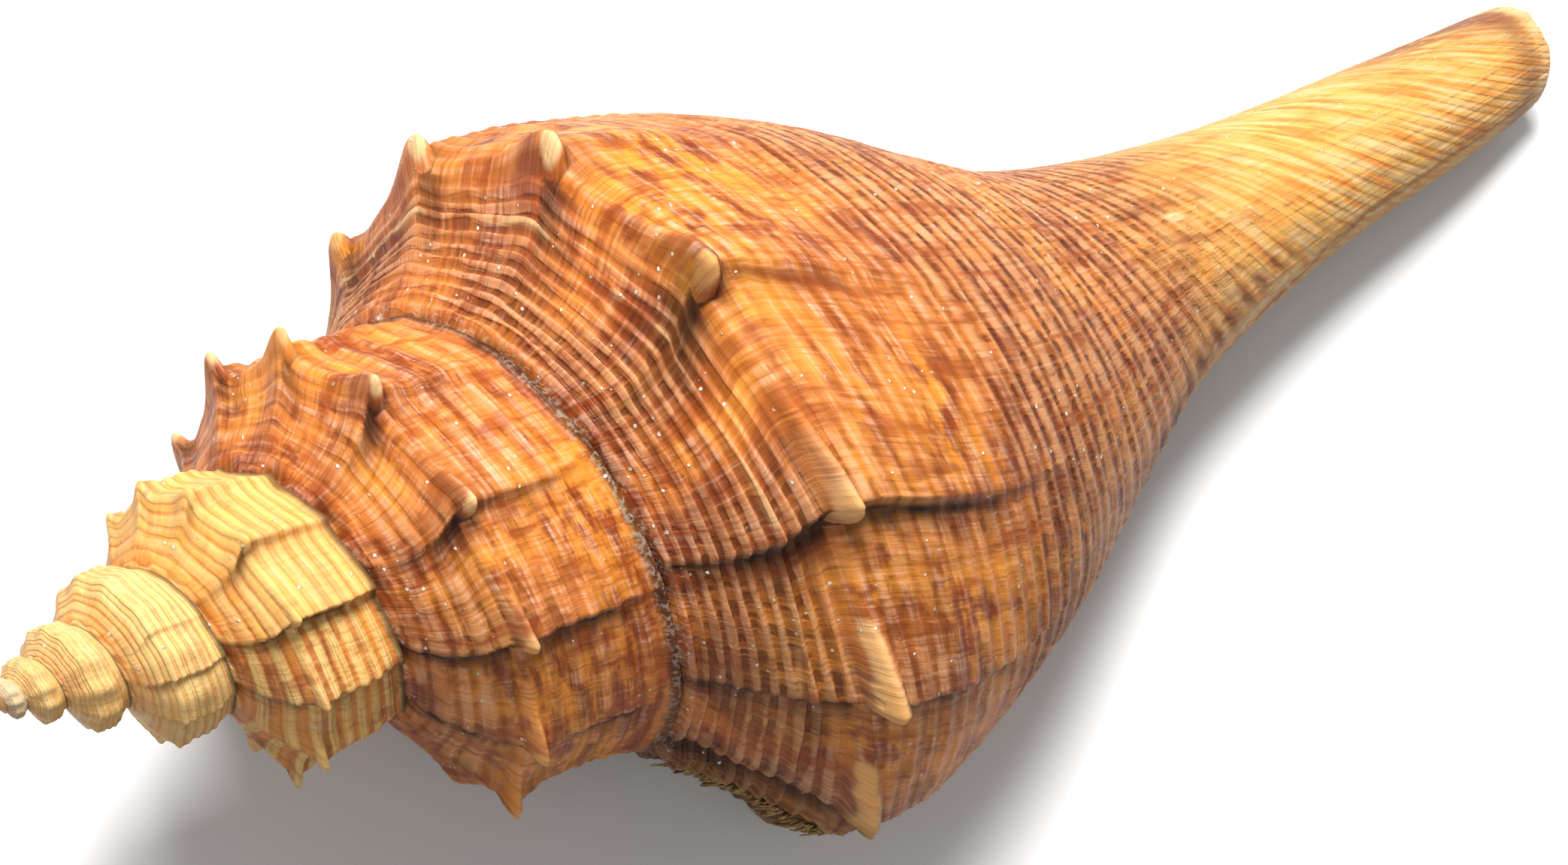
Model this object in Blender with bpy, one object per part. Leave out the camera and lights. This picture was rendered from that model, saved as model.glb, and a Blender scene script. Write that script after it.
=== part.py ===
"""Spindle shell: a large dextral sea snail's shell, lying as it rests with its mouth down.

The shell is one closed solid. Its outside is a single band that winds down a logarithmic
spiral and grows by the same ratio each turn; the band's lower edge is the next turn's upper
edge. The last turn runs on down into the long canal. The mouth and the canal's channel are
cut out of it, and the places it stands on are worn a little flat.
"""
import math

import bpy
import numpy as np
from mathutils import Matrix

MM = 0.001

# Growth. Sizes are in millimetres, as they measure at the lip; a turn earlier they are
# GROWTH times smaller. Heights run along the shell's axis from the spiral's own pole,
# angles turn about it, and turns count back from 0 at the lip.
GROWTH = 1.637
FIRST_TURN = -5.5
KNOBS_PER_TURN = 11.5
LAST_KNOB_ANGLE = 165.8
LIP_ANGLE = LAST_KNOB_ANGLE + 360.0 / KNOBS_PER_TURN
SUTURE = (55.8, 24.9)
NEXT_SUTURE = (SUTURE[0] * GROWTH, SUTURE[1] * GROWTH)
SHOULDER = 67.5
APEX_HEIGHT = 1.6

# Half outlines as (height, radius): the ramp down to the shoulder, then the side, which on
# the spire flares out to the next turn's suture and on the last turn runs on as the canal.
# Just past the lip the last turn still laps onto that flare.
RAMP = (SUTURE, (60.5, 28.1), (64.6, 32.3), (SHOULDER, 36.0))
SPIRE_SIDE = ((74.0, 37.0), (82.0, 37.8), (88.0, 39.4), NEXT_SUTURE)
BODY_SIDE = ((74.0, 37.7), (82.0, 36.0), (91.3, 32.9), (100.0, 28.5), (110.0, 21.7),
             (120.0, 15.2), (132.0, 10.9), (145.0, 8.3), (160.0, 6.9), (175.0, 5.3))
LAP_REACH = 7.0
LAP_FADE = (-1.0, -0.85)

# The last turn starts off a little slim.
SLIM_TURN = -0.62
SLIM_WIDTH = 0.11
SLIM_DEPTH = 2.2

# The canal hardly grows: growth fades out between these heights. Its end bends and is
# broken off on a slant.
GROWTH_FADE = (43.0, 205.0)
BEND_START = 100.0
BEND_UP = 3.8
BEND_FRONT = 10.0
TIP_HEIGHT = 173.5
TIP_SLANT = 2.5

# Knobs stand on the shoulder. Each climbs slowly and drops away sharply, over a low fold.
# Both are lower on the first turns, and where the mouth has glazed over them.
KNOB_HEIGHT = 3.7
KNOB_PEAK = 0.90
KNOB_CLIMB = 2.4
KNOB_SPREAD = (3.4, 5.0)
KNOB_LEAST = 0.4
KNOB_GROWN = (-5.0, -2.5)
FOLD_HEIGHT = 1.3
FOLD_CLIMB = 1.5
FOLD_TOP = (56.5, 64.0)
FOLD_FOOT = (76.0, 98.0)
GLAZED_TURN = -0.955
GLAZED_WIDTH = 0.06
GLAZED_LOSS = 0.7

# The mouth: wall and glaze thickness, how far its hollow winds in, and where it ends.
WALL = 1.8
GLAZE = 0.7
MOUTH_DEPTH = 0.72
MOUTH_LEAD = 0.02
MOUTH_TOP = 59.0
MOUTH_FOOT = 131.0
MOUTH_SQUARENESS = 0.7

# The canal's channel: where it starts, and its walls and floor as parts of the canal's
# radius. At its start its inner wall stands out a little, to meet the pillar.
CHANNEL_START = 116.0
CHANNEL_SETTLED = 140.0
CHANNEL_STAND_OUT = 2.2
CHANNEL_OVERRUN = 3.0
CHANNEL_INNER = 0.23
CHANNEL_OUTER = 0.77
CHANNEL_FLOOR = 0.38
CHANNEL_OPEN = 1.8

# How the shell lies: the angle about its axis that is underneath, how far the canal's end
# is tipped down, and how much is worn off the three places that it stands on.
UNDERSIDE_ANGLE = 254.25
TIP_DOWN = 10.63
WORN = 0.3

COLUMNS = 46
RAMP_ROWS = 4
SIDE_ROWS = 6
BASE_ROWS = 24
MOUTH_COLUMNS = 26
MOUTH_POINTS = 18
CHANNEL_RINGS = 14
CHANNEL_ARC = 7


def ease(x, low, high):
    """Smooth step from 0 at low to 1 at high."""
    t = np.clip((x - low) / (high - low), 0.0, 1.0)
    return t * t * (3.0 - 2.0 * t)


def curve(x, points):
    """Smooth curve through the points, read at x and held level past its ends."""
    px, py = np.array(points).T
    slope = np.gradient(py, px)
    x = np.clip(x, px[0], px[-1])
    i = np.clip(np.searchsorted(px, x, side="right") - 1, 0, len(px) - 2)
    step = px[i + 1] - px[i]
    t = (x - px[i]) / step
    chord = py[i] * (1 + 2 * t) * (1 - t) ** 2 + py[i + 1] * t * t * (3 - 2 * t)
    return chord + step * (slope[i] * t * (1 - t) ** 2 + slope[i + 1] * t * t * (t - 1))


def angle_at(turn):
    """Angle about the axis, in degrees, that the lip had at this turn."""
    return LIP_ANGLE + 360.0 * turn


def relief(turn, x):
    """Height of the knobs and the folds under them, at lip size; none past the last knob."""
    knobs_on = (angle_at(turn) - LAST_KNOB_ANGLE) * KNOBS_PER_TURN / 360.0
    phase = np.mod(knobs_on + KNOB_PEAK, 1.0)
    climb = np.clip(phase / KNOB_PEAK, 0.0, 1.0)
    drop = 1.0 - np.clip((phase - KNOB_PEAK) / (1.0 - KNOB_PEAK), 0.0, 1.0)
    spread = np.where(x < SHOULDER, *KNOB_SPREAD)
    knob = KNOB_HEIGHT * climb ** KNOB_CLIMB * drop * np.exp(-((x - SHOULDER) / spread) ** 2)
    fold = FOLD_HEIGHT * climb ** FOLD_CLIMB * drop
    fold = fold * ease(x, *FOLD_TOP) * (1.0 - ease(x, *FOLD_FOOT))
    size = KNOB_LEAST + (1.0 - KNOB_LEAST) * ease(turn, *KNOB_GROWN)
    glazed = GLAZED_LOSS * np.exp(-((turn - GLAZED_TURN) / GLAZED_WIDTH) ** 2)
    size = size * (1.0 - glazed)
    return np.where(knobs_on <= 1.0 - KNOB_PEAK, size * (knob + fold), 0.0)


def outside(turn, height, knobs=True):
    """Radius of the outside where the band is at this turn and height."""
    scale = GROWTH ** (turn * (1.0 - ease(height, *GROWTH_FADE)))
    x = height / scale
    body = curve(x, RAMP + BODY_SIDE)
    past = np.maximum(x - NEXT_SUTURE[0], 0.0)
    lap = curve(np.minimum(x, NEXT_SUTURE[0]), RAMP + SPIRE_SIDE)
    lap = lap - curve(np.minimum(x, NEXT_SUTURE[0]), RAMP + BODY_SIDE)
    lap = lap * np.exp(-(past / LAP_REACH) ** 2) * (1.0 - ease(turn, *LAP_FADE))
    slim = SLIM_DEPTH * np.exp(-((turn - SLIM_TURN) / SLIM_WIDTH) ** 2)
    slim = slim * ease(x, *FOLD_TOP) * (1.0 - ease(x, *FOLD_FOOT))
    bumps = relief(turn, x) if knobs else 0.0
    return scale * (body + lap - slim + bumps)


def bent(height, front, up):
    """Points from heights and two offsets from the axis, with the canal's bend added.

    The axis is +X, up is +Z and the front is -Y.
    """
    t = np.clip((height - BEND_START) / (TIP_HEIGHT - BEND_START), 0.0, 1.0)
    front = front + BEND_FRONT * t * (1.0 - t)
    return np.stack([height, -front, up + BEND_UP * t * t], -1) * MM


def around(turn, height, radius):
    """Points at a radius from the axis, on the half plane where the lip was at this turn."""
    angle = np.radians(angle_at(turn))
    return bent(height + 0.0 * angle, radius * np.sin(angle), radius * np.cos(angle))


def band_points():
    """Grid of the band's points, column by column, and each point's index by column and row."""
    ramp = np.linspace(SUTURE[0], SHOULDER, RAMP_ROWS + 1)
    side = np.linspace(SHOULDER, NEXT_SUTURE[0], SIDE_ROWS + 1)
    rows = np.concatenate([ramp, side[1:]])
    last = round(-FIRST_TURN * COLUMNS)
    points = []
    index = {}
    for column in range(last + 1):
        turn = (column - last) / COLUMNS
        heights = rows * GROWTH ** turn
        if turn >= -1.0:
            end = TIP_HEIGHT - TIP_SLANT * (1.0 - math.sin(math.radians(angle_at(turn))))
            base = np.linspace(heights[-1], end, BASE_ROWS + 1)
            heights = np.concatenate([heights, base[1:]])
        else:
            heights = heights[:-1]
        for row, height in enumerate(heights):
            if column == last - COLUMNS and row == len(rows) - 1:
                continue
            index[column, row] = len(points)
            points.append(around(turn, height, outside(turn, height)))
    foot = len(rows) - 1
    for column in range(last - COLUMNS + 1):
        index[column, foot] = index[column + COLUMNS, 0]
    return points, index, last, foot


def band_mesh():
    """The whole outside as one closed mesh, with a flat face across the mouth."""
    points, index, last, foot = band_points()
    faces = []
    for column in range(last):
        rows = foot if column < last - COLUMNS else foot + BASE_ROWS
        for row in range(rows):
            faces.append([index[column, row], index[column + 1, row],
                          index[column + 1, row + 1], index[column, row + 1]])
    first = last - COLUMNS
    end = foot + BASE_ROWS
    pillar = [index[first, row] for row in range(foot, end + 1)]
    lip = [index[last, row] for row in range(end, 0, -1)]
    faces.append(pillar + lip)
    faces.append([index[column, end] for column in range(first, last + 1)])
    apex = len(points)
    points.append(bent(np.array(APEX_HEIGHT), 0.0, 0.0))
    rim = [index[column, 0] for column in range(COLUMNS)]
    rim += [index[0, row] for row in range(foot, 0, -1)]
    for here, there in zip(rim, rim[1:] + rim[:1]):
        faces.append([apex, there, here])
    return points, faces


def loft(rings):
    """Closed mesh through rings of equal length, with a flat face on each end."""
    count = len(rings[0])
    points = [point for ring in rings for point in ring]
    faces = [list(range(count))[::-1]]
    for ring in range(len(rings) - 1):
        for here in range(count):
            there = (here + 1) % count
            low, high = ring * count, (ring + 1) * count
            faces.append([low + here, low + there, high + there, high + here])
    faces.append(list(range(len(points) - count, len(points))))
    return points, faces


def mouth_rings():
    """Sections of the hollow, on half planes, from just ahead of the lip and back inside."""
    rings = []
    for turn in np.linspace(MOUTH_LEAD, -MOUTH_DEPTH, MOUTH_COLUMNS):
        scale = GROWTH ** turn
        top, foot = MOUTH_TOP * scale, MOUTH_FOOT * scale
        swing = np.linspace(0.0, 2.0 * np.pi, MOUTH_POINTS, endpoint=False)
        height = (top + foot) / 2.0 - (foot - top) / 2.0 * np.cos(swing)
        outer = outside(turn, height, knobs=False) - WALL
        inner = outside(turn - 1.0, height, knobs=False) + GLAZE
        side = np.sign(np.sin(swing)) * np.abs(np.sin(swing)) ** MOUTH_SQUARENESS
        radius = (inner + outer) / 2.0 + (outer - inner) / 2.0 * side
        rings.append(around(turn, height, radius))
    return rings


def channel_rings():
    """Sections across the canal of the channel that runs down it, open past its end."""
    lip = math.radians(LIP_ANGLE)
    rings = []
    for height in np.linspace(CHANNEL_START, TIP_HEIGHT + CHANNEL_OVERRUN, CHANNEL_RINGS):
        canal = float(outside(0.0, height, knobs=False))
        start = 1.0 - ease(height, CHANNEL_START, CHANNEL_SETTLED)
        inner = CHANNEL_INNER * canal + CHANNEL_STAND_OUT * start
        outer = CHANNEL_OUTER * canal
        middle, half = (inner + outer) / 2.0, (outer - inner) / 2.0
        swing = np.linspace(np.pi, 2.0 * np.pi, CHANNEL_ARC)
        out = np.concatenate([middle + half * np.cos(swing), [outer, inner]])
        ahead = half - CHANNEL_FLOOR * canal + half * np.sin(swing)
        ahead = np.concatenate([ahead, [CHANNEL_OPEN * canal] * 2])
        front = out * math.sin(lip) + ahead * math.cos(lip)
        up = out * math.cos(lip) - ahead * math.sin(lip)
        rings.append(bent(np.full(len(out), height), front, up))
    return rings


def collection(name):
    """A collection of this name, linked into the scene."""
    made = bpy.data.collections.new(name)
    bpy.context.scene.collection.children.link(made)
    return made


def mesh_object(name, group, points, faces):
    """A mesh object with all its faces turned outwards."""
    mesh = bpy.data.meshes.new(name)
    mesh.from_pydata(points, [], faces)
    mesh.validate()
    made = bpy.data.objects.new(name, mesh)
    group.objects.link(made)
    return made


def cut(body, cutter):
    """Cut one object out of another."""
    modifier = body.modifiers.new(cutter.name, "BOOLEAN")
    modifier.operation = "DIFFERENCE"
    modifier.solver = "EXACT"
    modifier.object = cutter
    cutter.hide_render = True
    cutter.display_type = "WIRE"


def lie_down(points):
    """The pose that the shell rests in, with the middle of its footprint at the origin."""
    roll = Matrix.Rotation(math.radians(180.0 - UNDERSIDE_ANGLE), 4, "X")
    pose = Matrix.Rotation(math.radians(TIP_DOWN), 4, "Y") @ roll
    turned = points @ np.array(pose.to_3x3()).T
    low, high = turned.min(axis=0), turned.max(axis=0)
    middle = (low + high) / 2.0
    return Matrix.Translation((-middle[0], -middle[1], -low[2] - WORN * MM)) @ pose


def shell_material():
    """Glossy orange-brown shell."""
    material = bpy.data.materials.new("shell")
    material.use_nodes = True
    surface = material.node_tree.nodes["Principled BSDF"]
    surface.inputs["Base Color"].default_value = (0.48, 0.17, 0.045, 1.0)
    surface.inputs["Roughness"].default_value = 0.3
    surface.inputs["Metallic"].default_value = 0.0
    return material


def table(group):
    """A block just under the ground, which wears the resting places flat."""
    bpy.ops.mesh.primitive_cube_add(size=1.0, location=(0.0, 0.0, -0.5))
    made = bpy.context.active_object
    made.name = "table"
    for owner in made.users_collection:
        owner.objects.unlink(made)
    group.objects.link(made)
    return made


def build():
    """Clear the scene and model the shell in it."""
    for leftover in list(bpy.data.objects):
        bpy.data.objects.remove(leftover, do_unlink=True)
    part = collection("spindle_shell")
    cutters = collection("cutters")
    points, faces = band_mesh()
    shell = mesh_object("shell", part, points, faces)
    shell.data.materials.append(shell_material())
    mouth = mesh_object("mouth", cutters, *loft(mouth_rings()))
    channel = mesh_object("channel", cutters, *loft(channel_rings()))
    pose = lie_down(np.array(points))
    for placed in (shell, mouth, channel):
        placed.matrix_world = pose
    for cutter in (mouth, channel, table(cutters)):
        cut(shell, cutter)


build()
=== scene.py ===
"""Spindle shell: the looks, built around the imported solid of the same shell.

Everything follows one logarithmic band, as the solid does. A point of the band is given by its
turn, which counts back from 0 at the lip, and by its cord, the height along the shell's axis
that it would have at the lip's size. Spiral cords run at fixed cord values, growth lines at
fixed turns.
"""
import functools
import math
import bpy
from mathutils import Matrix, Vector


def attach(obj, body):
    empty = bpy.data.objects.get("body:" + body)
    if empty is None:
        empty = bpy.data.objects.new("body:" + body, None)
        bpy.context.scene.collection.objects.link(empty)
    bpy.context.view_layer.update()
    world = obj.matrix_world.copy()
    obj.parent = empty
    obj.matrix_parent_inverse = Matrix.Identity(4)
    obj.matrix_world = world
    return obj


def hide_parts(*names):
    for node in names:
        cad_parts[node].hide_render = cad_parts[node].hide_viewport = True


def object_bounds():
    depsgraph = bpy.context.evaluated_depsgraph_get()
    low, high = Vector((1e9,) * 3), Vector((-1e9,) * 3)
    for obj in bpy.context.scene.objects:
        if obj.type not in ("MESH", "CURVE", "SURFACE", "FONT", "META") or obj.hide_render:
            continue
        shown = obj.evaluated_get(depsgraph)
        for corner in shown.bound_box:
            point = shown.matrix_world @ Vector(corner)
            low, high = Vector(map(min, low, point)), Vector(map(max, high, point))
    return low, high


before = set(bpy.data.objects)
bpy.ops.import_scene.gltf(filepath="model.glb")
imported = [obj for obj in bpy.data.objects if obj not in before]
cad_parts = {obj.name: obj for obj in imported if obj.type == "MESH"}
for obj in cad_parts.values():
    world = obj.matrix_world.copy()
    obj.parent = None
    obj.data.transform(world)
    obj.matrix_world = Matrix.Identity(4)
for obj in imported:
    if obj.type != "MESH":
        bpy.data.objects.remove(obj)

from types import SimpleNamespace

import bmesh
import bpy
import numpy as np
from mathutils import Matrix, Vector

bl_info = {
    "name": "Spindle Shell",
    "version": (1, 0, 0),
    "blender": (4, 5, 0),
    "location": "View3D > Sidebar > Spindle Shell",
    "description": "Models a large spindle shell's surface, mouth, fringe and stage",
    "category": "Add Mesh",
}

CAD_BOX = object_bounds()
NODE = "shell"
BODY = "root"
MM = 0.001
WELD = 1e-6

# The shell's form, in millimetres as it measures at the lip, as in the solid's own source.
GROWTH = 1.637
KNOBS_PER_TURN = 11.5
LAST_KNOB_ANGLE = 165.8
LIP_ANGLE = LAST_KNOB_ANGLE + 360.0 / KNOBS_PER_TURN
SUTURE = (55.8, 24.9)
NEXT_SUTURE = (SUTURE[0] * GROWTH, SUTURE[1] * GROWTH)
SHOULDER = 67.5
RAMP = (SUTURE, (60.5, 28.1), (64.6, 32.3), (SHOULDER, 36.0))
SPIRE_SIDE = ((74.0, 37.0), (82.0, 37.8), (88.0, 39.4), NEXT_SUTURE)
BODY_SIDE = ((74.0, 37.7), (82.0, 36.0), (91.3, 32.9), (100.0, 28.5), (110.0, 21.7),
             (120.0, 15.2), (132.0, 10.9), (145.0, 8.3), (160.0, 6.9), (175.0, 5.3))
LAP_REACH = 7.0
LAP_FADE = (-1.0, -0.85)
SLIM_TURN = -0.62
SLIM_WIDTH = 0.11
SLIM_DEPTH = 2.2
GROWTH_FADE = (43.0, 205.0)
BEND_START = 100.0
BEND_UP = 3.8
BEND_FRONT = 10.0
TIP_HEIGHT = 173.5
TIP_SLANT = 2.5
KNOB_PEAK = 0.90
KNOB_CLIMB = 2.4
KNOB_SPREAD = (3.4, 5.0)
KNOB_LEAST = 0.4
KNOB_GROWN = (-5.0, -2.5)
FOLD_HEIGHT = 1.3
FOLD_CLIMB = 1.5
FOLD_TOP = (56.5, 64.0)
FOLD_FOOT = (76.0, 98.0)
GLAZED_TURN = -0.955
GLAZED_WIDTH = 0.06
GLAZED_LOSS = 0.7
WALL = 1.8
GLAZE = 0.7
MOUTH_TOP = 59.0
MOUTH_FOOT = 131.0
MOUTH_SQUARENESS = 0.7
CHANNEL_START = 116.0
CHANNEL_SETTLED = 140.0
CHANNEL_STAND_OUT = 2.2
CHANNEL_INNER = 0.23
CHANNEL_OUTER = 0.77
CHANNEL_FLOOR = 0.38
UNDERSIDE_ANGLE = 254.25
TIP_DOWN = 10.63
WORN = 0.3
SOLID_KNOB_HEIGHT = 3.7
SOLID_FIRST_TURN = -5.5
SOLID_APEX = 1.6
SOLID_COLUMNS = 46
SOLID_RAMP_ROWS = 4
SOLID_SIDE_ROWS = 6
SOLID_BASE_ROWS = 24

# Finer than the solid: how far the early turns go, the cords and the cliff behind each knob.
EARLIEST_TURN = -6.6
APEX_HEIGHT = 2.3
MAIN_CORDS = 4.0
FINE_CORDS = MAIN_CORDS / 2.0
CLIFF = 1.9
FINGER_CORD = 67.8
FINGER_WIDTH = 1.1
FINGER_END = 0.99
FINGER_TIP = 0.10
KNOB_SIZES = ((-1.0, 1.2), (0.0, 1.2), (1.0, 1.0), (2.0, 1.0), (3.0, 1.05), (4.0, 1.15),
              (5.0, 1.15), (6.0, 1.05), (8.0, 1.0), (10.0, 1.1), (11.0, 1.7), (12.0, 1.35),
              (13.0, 1.0), (14.0, 1.0), (60.0, 1.0))
SPIRE_FOLD_FOOT = (80.0, 110.0)
BROWN_TURN = -2.255
RIBS_END = (-3.7, -2.7)
RIB_HEIGHT = 2.6
PINCH = ((-6.0, 9.0), (-4.0, 8.0), (-3.0, 6.2), (-2.0, 4.4), (-1.3, 2.8), (-1.12, 1.6),
         (-1.0, 0.0))
SUTURE_WAVE = 0.8
ROLL_CORD = 56.6
ROLL_WIDTH = 0.55
ROLL_HEIGHT = 0.42
ROLL_STEP = 1.4
BOLD_CORD = 63.9
BOLD_CORD_HEIGHT = 0.4
LEDGE_ANGLE = 182.0
LEDGE_LEAN = 0.8
LEDGE_HEIGHT = 0.9
LIP_TOP = 55.3
LIRAE_APART = 1.9
FOLD_CORDS = (104.0, 109.5, 115.0)
END_SET_BACK = 0.3
GROUND_ANGLE = 165.0

# Grids: the cords at their edges, faces round the last turn, its parts as (name, first turn, last
# turn), and the early turns as (name, first turn, steps a turn, cords between rows).
APEX_CORD = 55.9
FIRST_CORD = 55.1
RAMP_CORD = 67.0
BASE_CORD = 100.0
LAST_TURN_STEPS = 540
LAST_TURN = (("last_turn_back", -1.0, -0.66), ("last_turn_top", -0.66, -0.335),
             ("last_turn_front", -0.335, 0.0))
EARLY_TURNS = (("fifth_turn", -2.0, 320, 0.30), ("fourth_turn", -3.0, 260, 0.40),
               ("third_turn", -4.0, 220, 0.55), ("first_turns", EARLIEST_TURN, 170, 0.8))

# Growth lines lean: how many degrees they are ahead of a half plane, by cord. Knobs are not quite
# even: how many degrees they are ahead of their place, by angle.
LEAN = ((55.8, 7.0), (60.0, 7.5), (64.0, 4.5), (67.0, 0.3), (69.0, 0.0), (76.0, 3.0),
        (85.0, 8.0), (95.0, 12.0), (110.0, 15.0), (175.0, 15.0))
LEAN_ON_SPIRE = 0.1
UNEVEN = ((-330.0, 0.0), (-300.0, 0.0), (-272.0, 1.5), (-241.0, 3.0), (-208.0, 3.5),
          (-178.0, 1.0), (-150.0, 0.0), (-120.0, 0.0), (45.0, 0.0), (71.9, 0.0), (92.0, 3.0),
          (108.5, 5.3), (139.5, 5.0), (166.8, 1.0), (180.0, 0.0))

# How sharply growth stopped at each knob, counted back from the lip: the rest only swell.
STOP_LEAST = 0.2
STOPS = ((0, 1.0), (1, 1.0), (2, 0.95), (3, 0.45), (12, 0.7), (13, 1.0), (14, 0.55), (15, 0.4),
         (24, 0.8), (25, 0.9), (26, 0.4), (35, 0.8), (36, 1.0), (37, 0.6), (47, 0.8), (48, 0.8))

# Marks on the canal: a row of stains beside the lip as (cord, angle), and healed scars as
# (cord, angle, width in cords, width in degrees, depth of colour).
DASH_ROW = ((112.0, 162.0), (116.0, 158.0), (124.0, 149.0), (132.0, 140.0), (140.0, 132.0),
            (150.0, 124.0), (165.0, 118.0))
SCARS = ((133.0, 97.0, 2.0, 4.0, 0.75), (130.5, 107.0, 1.6, 3.5, 0.6),
         (130.0, 79.0, 2.0, 4.0, 0.4), (172.0, 138.0, 2.2, 9.0, 0.45))

# Textures in space, by the grains to a millimetre: lime in the sutures, specks and dried skin.
GRIT_PER_MM = 2.4
SPECKS_PER_MM = 1.1
FLAKES_PER_MM = 0.9
MATH = "ShaderNodeMath"
NOISE = "ShaderNodeTexNoise"

# Stage: how much light the floor throws back and the sky gives, where the floor runs into the
# white, how far it lies below the shell, and the lamps as (name, watts, size, place).
WHITE = (1.0, 1.0, 1.0)
BOUNCE = 0.12
SKY = 0.25
FLOOR_FADE = (0.30, 0.70)
FLOOR_DROP = 0.2 * MM
LAMPS = (("key", 17.9, 0.40, (0.02, 0.42, 0.98)), ("fill", 1.7, 0.8, (-0.60, -0.45, 0.80)))


def linear(code):
    """An sRGB hex colour as linear red, green and blue."""
    parts = [int(code[i:i + 2], 16) / 255.0 for i in (1, 3, 5)]
    return tuple(p / 12.92 if p <= 0.04045 else ((p + 0.055) / 1.055) ** 2.4 for p in parts)


# ---------------------------------------------------------------------------------- settings

def length(name, description, default):
    """A length setting, in metres."""
    return bpy.props.FloatProperty(name=name, description=description, default=default,
                                   min=0.0, unit="LENGTH", subtype="DISTANCE", precision=5)


def colour(name, description, code):
    """A colour setting."""
    return bpy.props.FloatVectorProperty(name=name, description=description, size=3, min=0.0,
                                         max=1.0, subtype="COLOR", default=linear(code))


class ShellSizes(bpy.types.PropertyGroup):
    """Sizes of the relief on the shell."""
    knob_height: length("Knob height", "How far a grown knob stands off the shoulder",
                        1.3 * MM)
    finger_height: length("Finger height", "Height of the narrow ridge that leads up to a knob",
                          2.1 * MM)
    cord_depth: length("Cord depth", "Depth of the grooves between the spiral cords", 0.48 * MM)
    wrinkle_depth: length("Wrinkle depth", "Depth of the coarse growth wrinkles", 0.16 * MM)
    lirae_height: length("Lirae height", "Height of the fine ridges inside the outer lip",
                         0.3 * MM)
    fold_height: length("Fold height", "Height of the folds on the pillar", 0.9 * MM)
    strand_length: length("Strand length", "Longest strand of skin that hangs off the lip",
                          5.2 * MM)
    growth_lines: length("Growth line spacing", "Distance between fine growth lines", 0.42 * MM)


class ShellColours(bpy.types.PropertyGroup):
    """Colours of the shell."""
    brown: colour("Brown", "Ground colour of the last turn", "#9A4415")
    orange: colour("Orange", "Lighter ground of the last turn", "#EA8A3C")
    # Amber is the real colour of quick growth, and also painted warm light on the fingers and in
    # blots near the ground.
    amber: colour("Amber", "Glowing patches", "#F89C34")
    # Chestnut is the real colour of growth lines, patches and grooves, and also painted shade deep
    # in the grooves between cords and in the pits of the base.
    chestnut_and_groove_shade: colour("Chestnut", "Grooves and growth lines", "#5E280C")
    # Rose tan on the cord tops and on the light growth lines stands partly for painted sheen, the
    # lamp's reflection; it also tints the dried skin's fibres.
    rose_and_sheen: colour("Rose tan", "Tops of the cords", "#F6C2A0")
    tan: colour("Tan", "Cords on the base and beside the suture", "#DCA070")
    cream: colour("Cream", "Knobs and their ridges", "#FCD296")
    honey: colour("Honey", "The early turns", "#FFDA88")
    gold: colour("Gold", "The canal", "#F8C064")
    # Dark brown is real stain along old lip edges, and also painted shadow behind the knobs' cliffs
    # and under their shoulders, painted contact shade in the sutures and painted shadow in the
    # trough by the lip.
    stain_and_shade_brown: colour("Dark brown", "Stain along old lip edges", "#240F06")
    mauve: colour("Mauve brown", "Old growth before a stop, and scars", "#884A30")
    chalk: colour("Chalk", "Worn shell and lime in the sutures", "#EFE6D6")
    lining: colour("Lining", "Inside of the mouth", "#F3C79A")
    olive: colour("Olive", "Dried skin at the lip", "#C2AC74")


class StageSettings(bpy.types.PropertyGroup):
    """Floor, lights and camera."""
    floor_size: length("Floor size", "Side of the square floor", 6.0)
    distance: length("Camera distance", "From the camera to its target", 0.37255)
    focal: bpy.props.FloatProperty(name="Focal length", description="Camera lens, in mm",
                                   default=100.77, min=1.0)
    azimuth: bpy.props.FloatProperty(name="Azimuth", description="Camera angle round the shell",
                                     default=math.radians(-58.455), subtype="ANGLE")
    elevation: bpy.props.FloatProperty(name="Elevation", description="Camera angle above level",
                                       default=math.radians(63.967), subtype="ANGLE")
    roll: bpy.props.FloatProperty(name="Roll", description="Turn of the camera about its view",
                                  default=math.radians(30.40), subtype="ANGLE")
    target: bpy.props.FloatVectorProperty(name="Target", description="Where the camera looks",
                                          default=(-0.01216, 0.00043, 0.02385), size=3,
                                          subtype="XYZ", unit="LENGTH")
    floor: colour("Floor", "Colour of the floor", "#FCFCFC")


# ------------------------------------------------------------------------------------- form

def ease(x, low, high):
    """Smooth step from 0 at low to 1 at high: 3t^2 - 2t^3."""
    t = np.clip((x - low) / (high - low), 0.0, 1.0)
    return t * t * (3.0 - 2.0 * t)


def bell(x, middle, width):
    """Bell curve: exp(-((x - middle) / width)^2)."""
    return np.exp(-((x - middle) / width) ** 2)


def curve(x, points):
    """Cubic Hermite curve through the points with central slopes, level past its ends."""
    px, py = np.array(points).T
    slope = np.gradient(py, px)
    x = np.clip(x, px[0], px[-1])
    i = np.clip(np.searchsorted(px, x, side="right") - 1, 0, len(px) - 2)
    step = px[i + 1] - px[i]
    t = (x - px[i]) / step
    chord = py[i] * (1 + 2 * t) * (1 - t) ** 2 + py[i + 1] * t * t * (3 - 2 * t)
    return chord + step * (slope[i] * t * (1 - t) ** 2 + slope[i + 1] * t * t * (t - 1))


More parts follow.
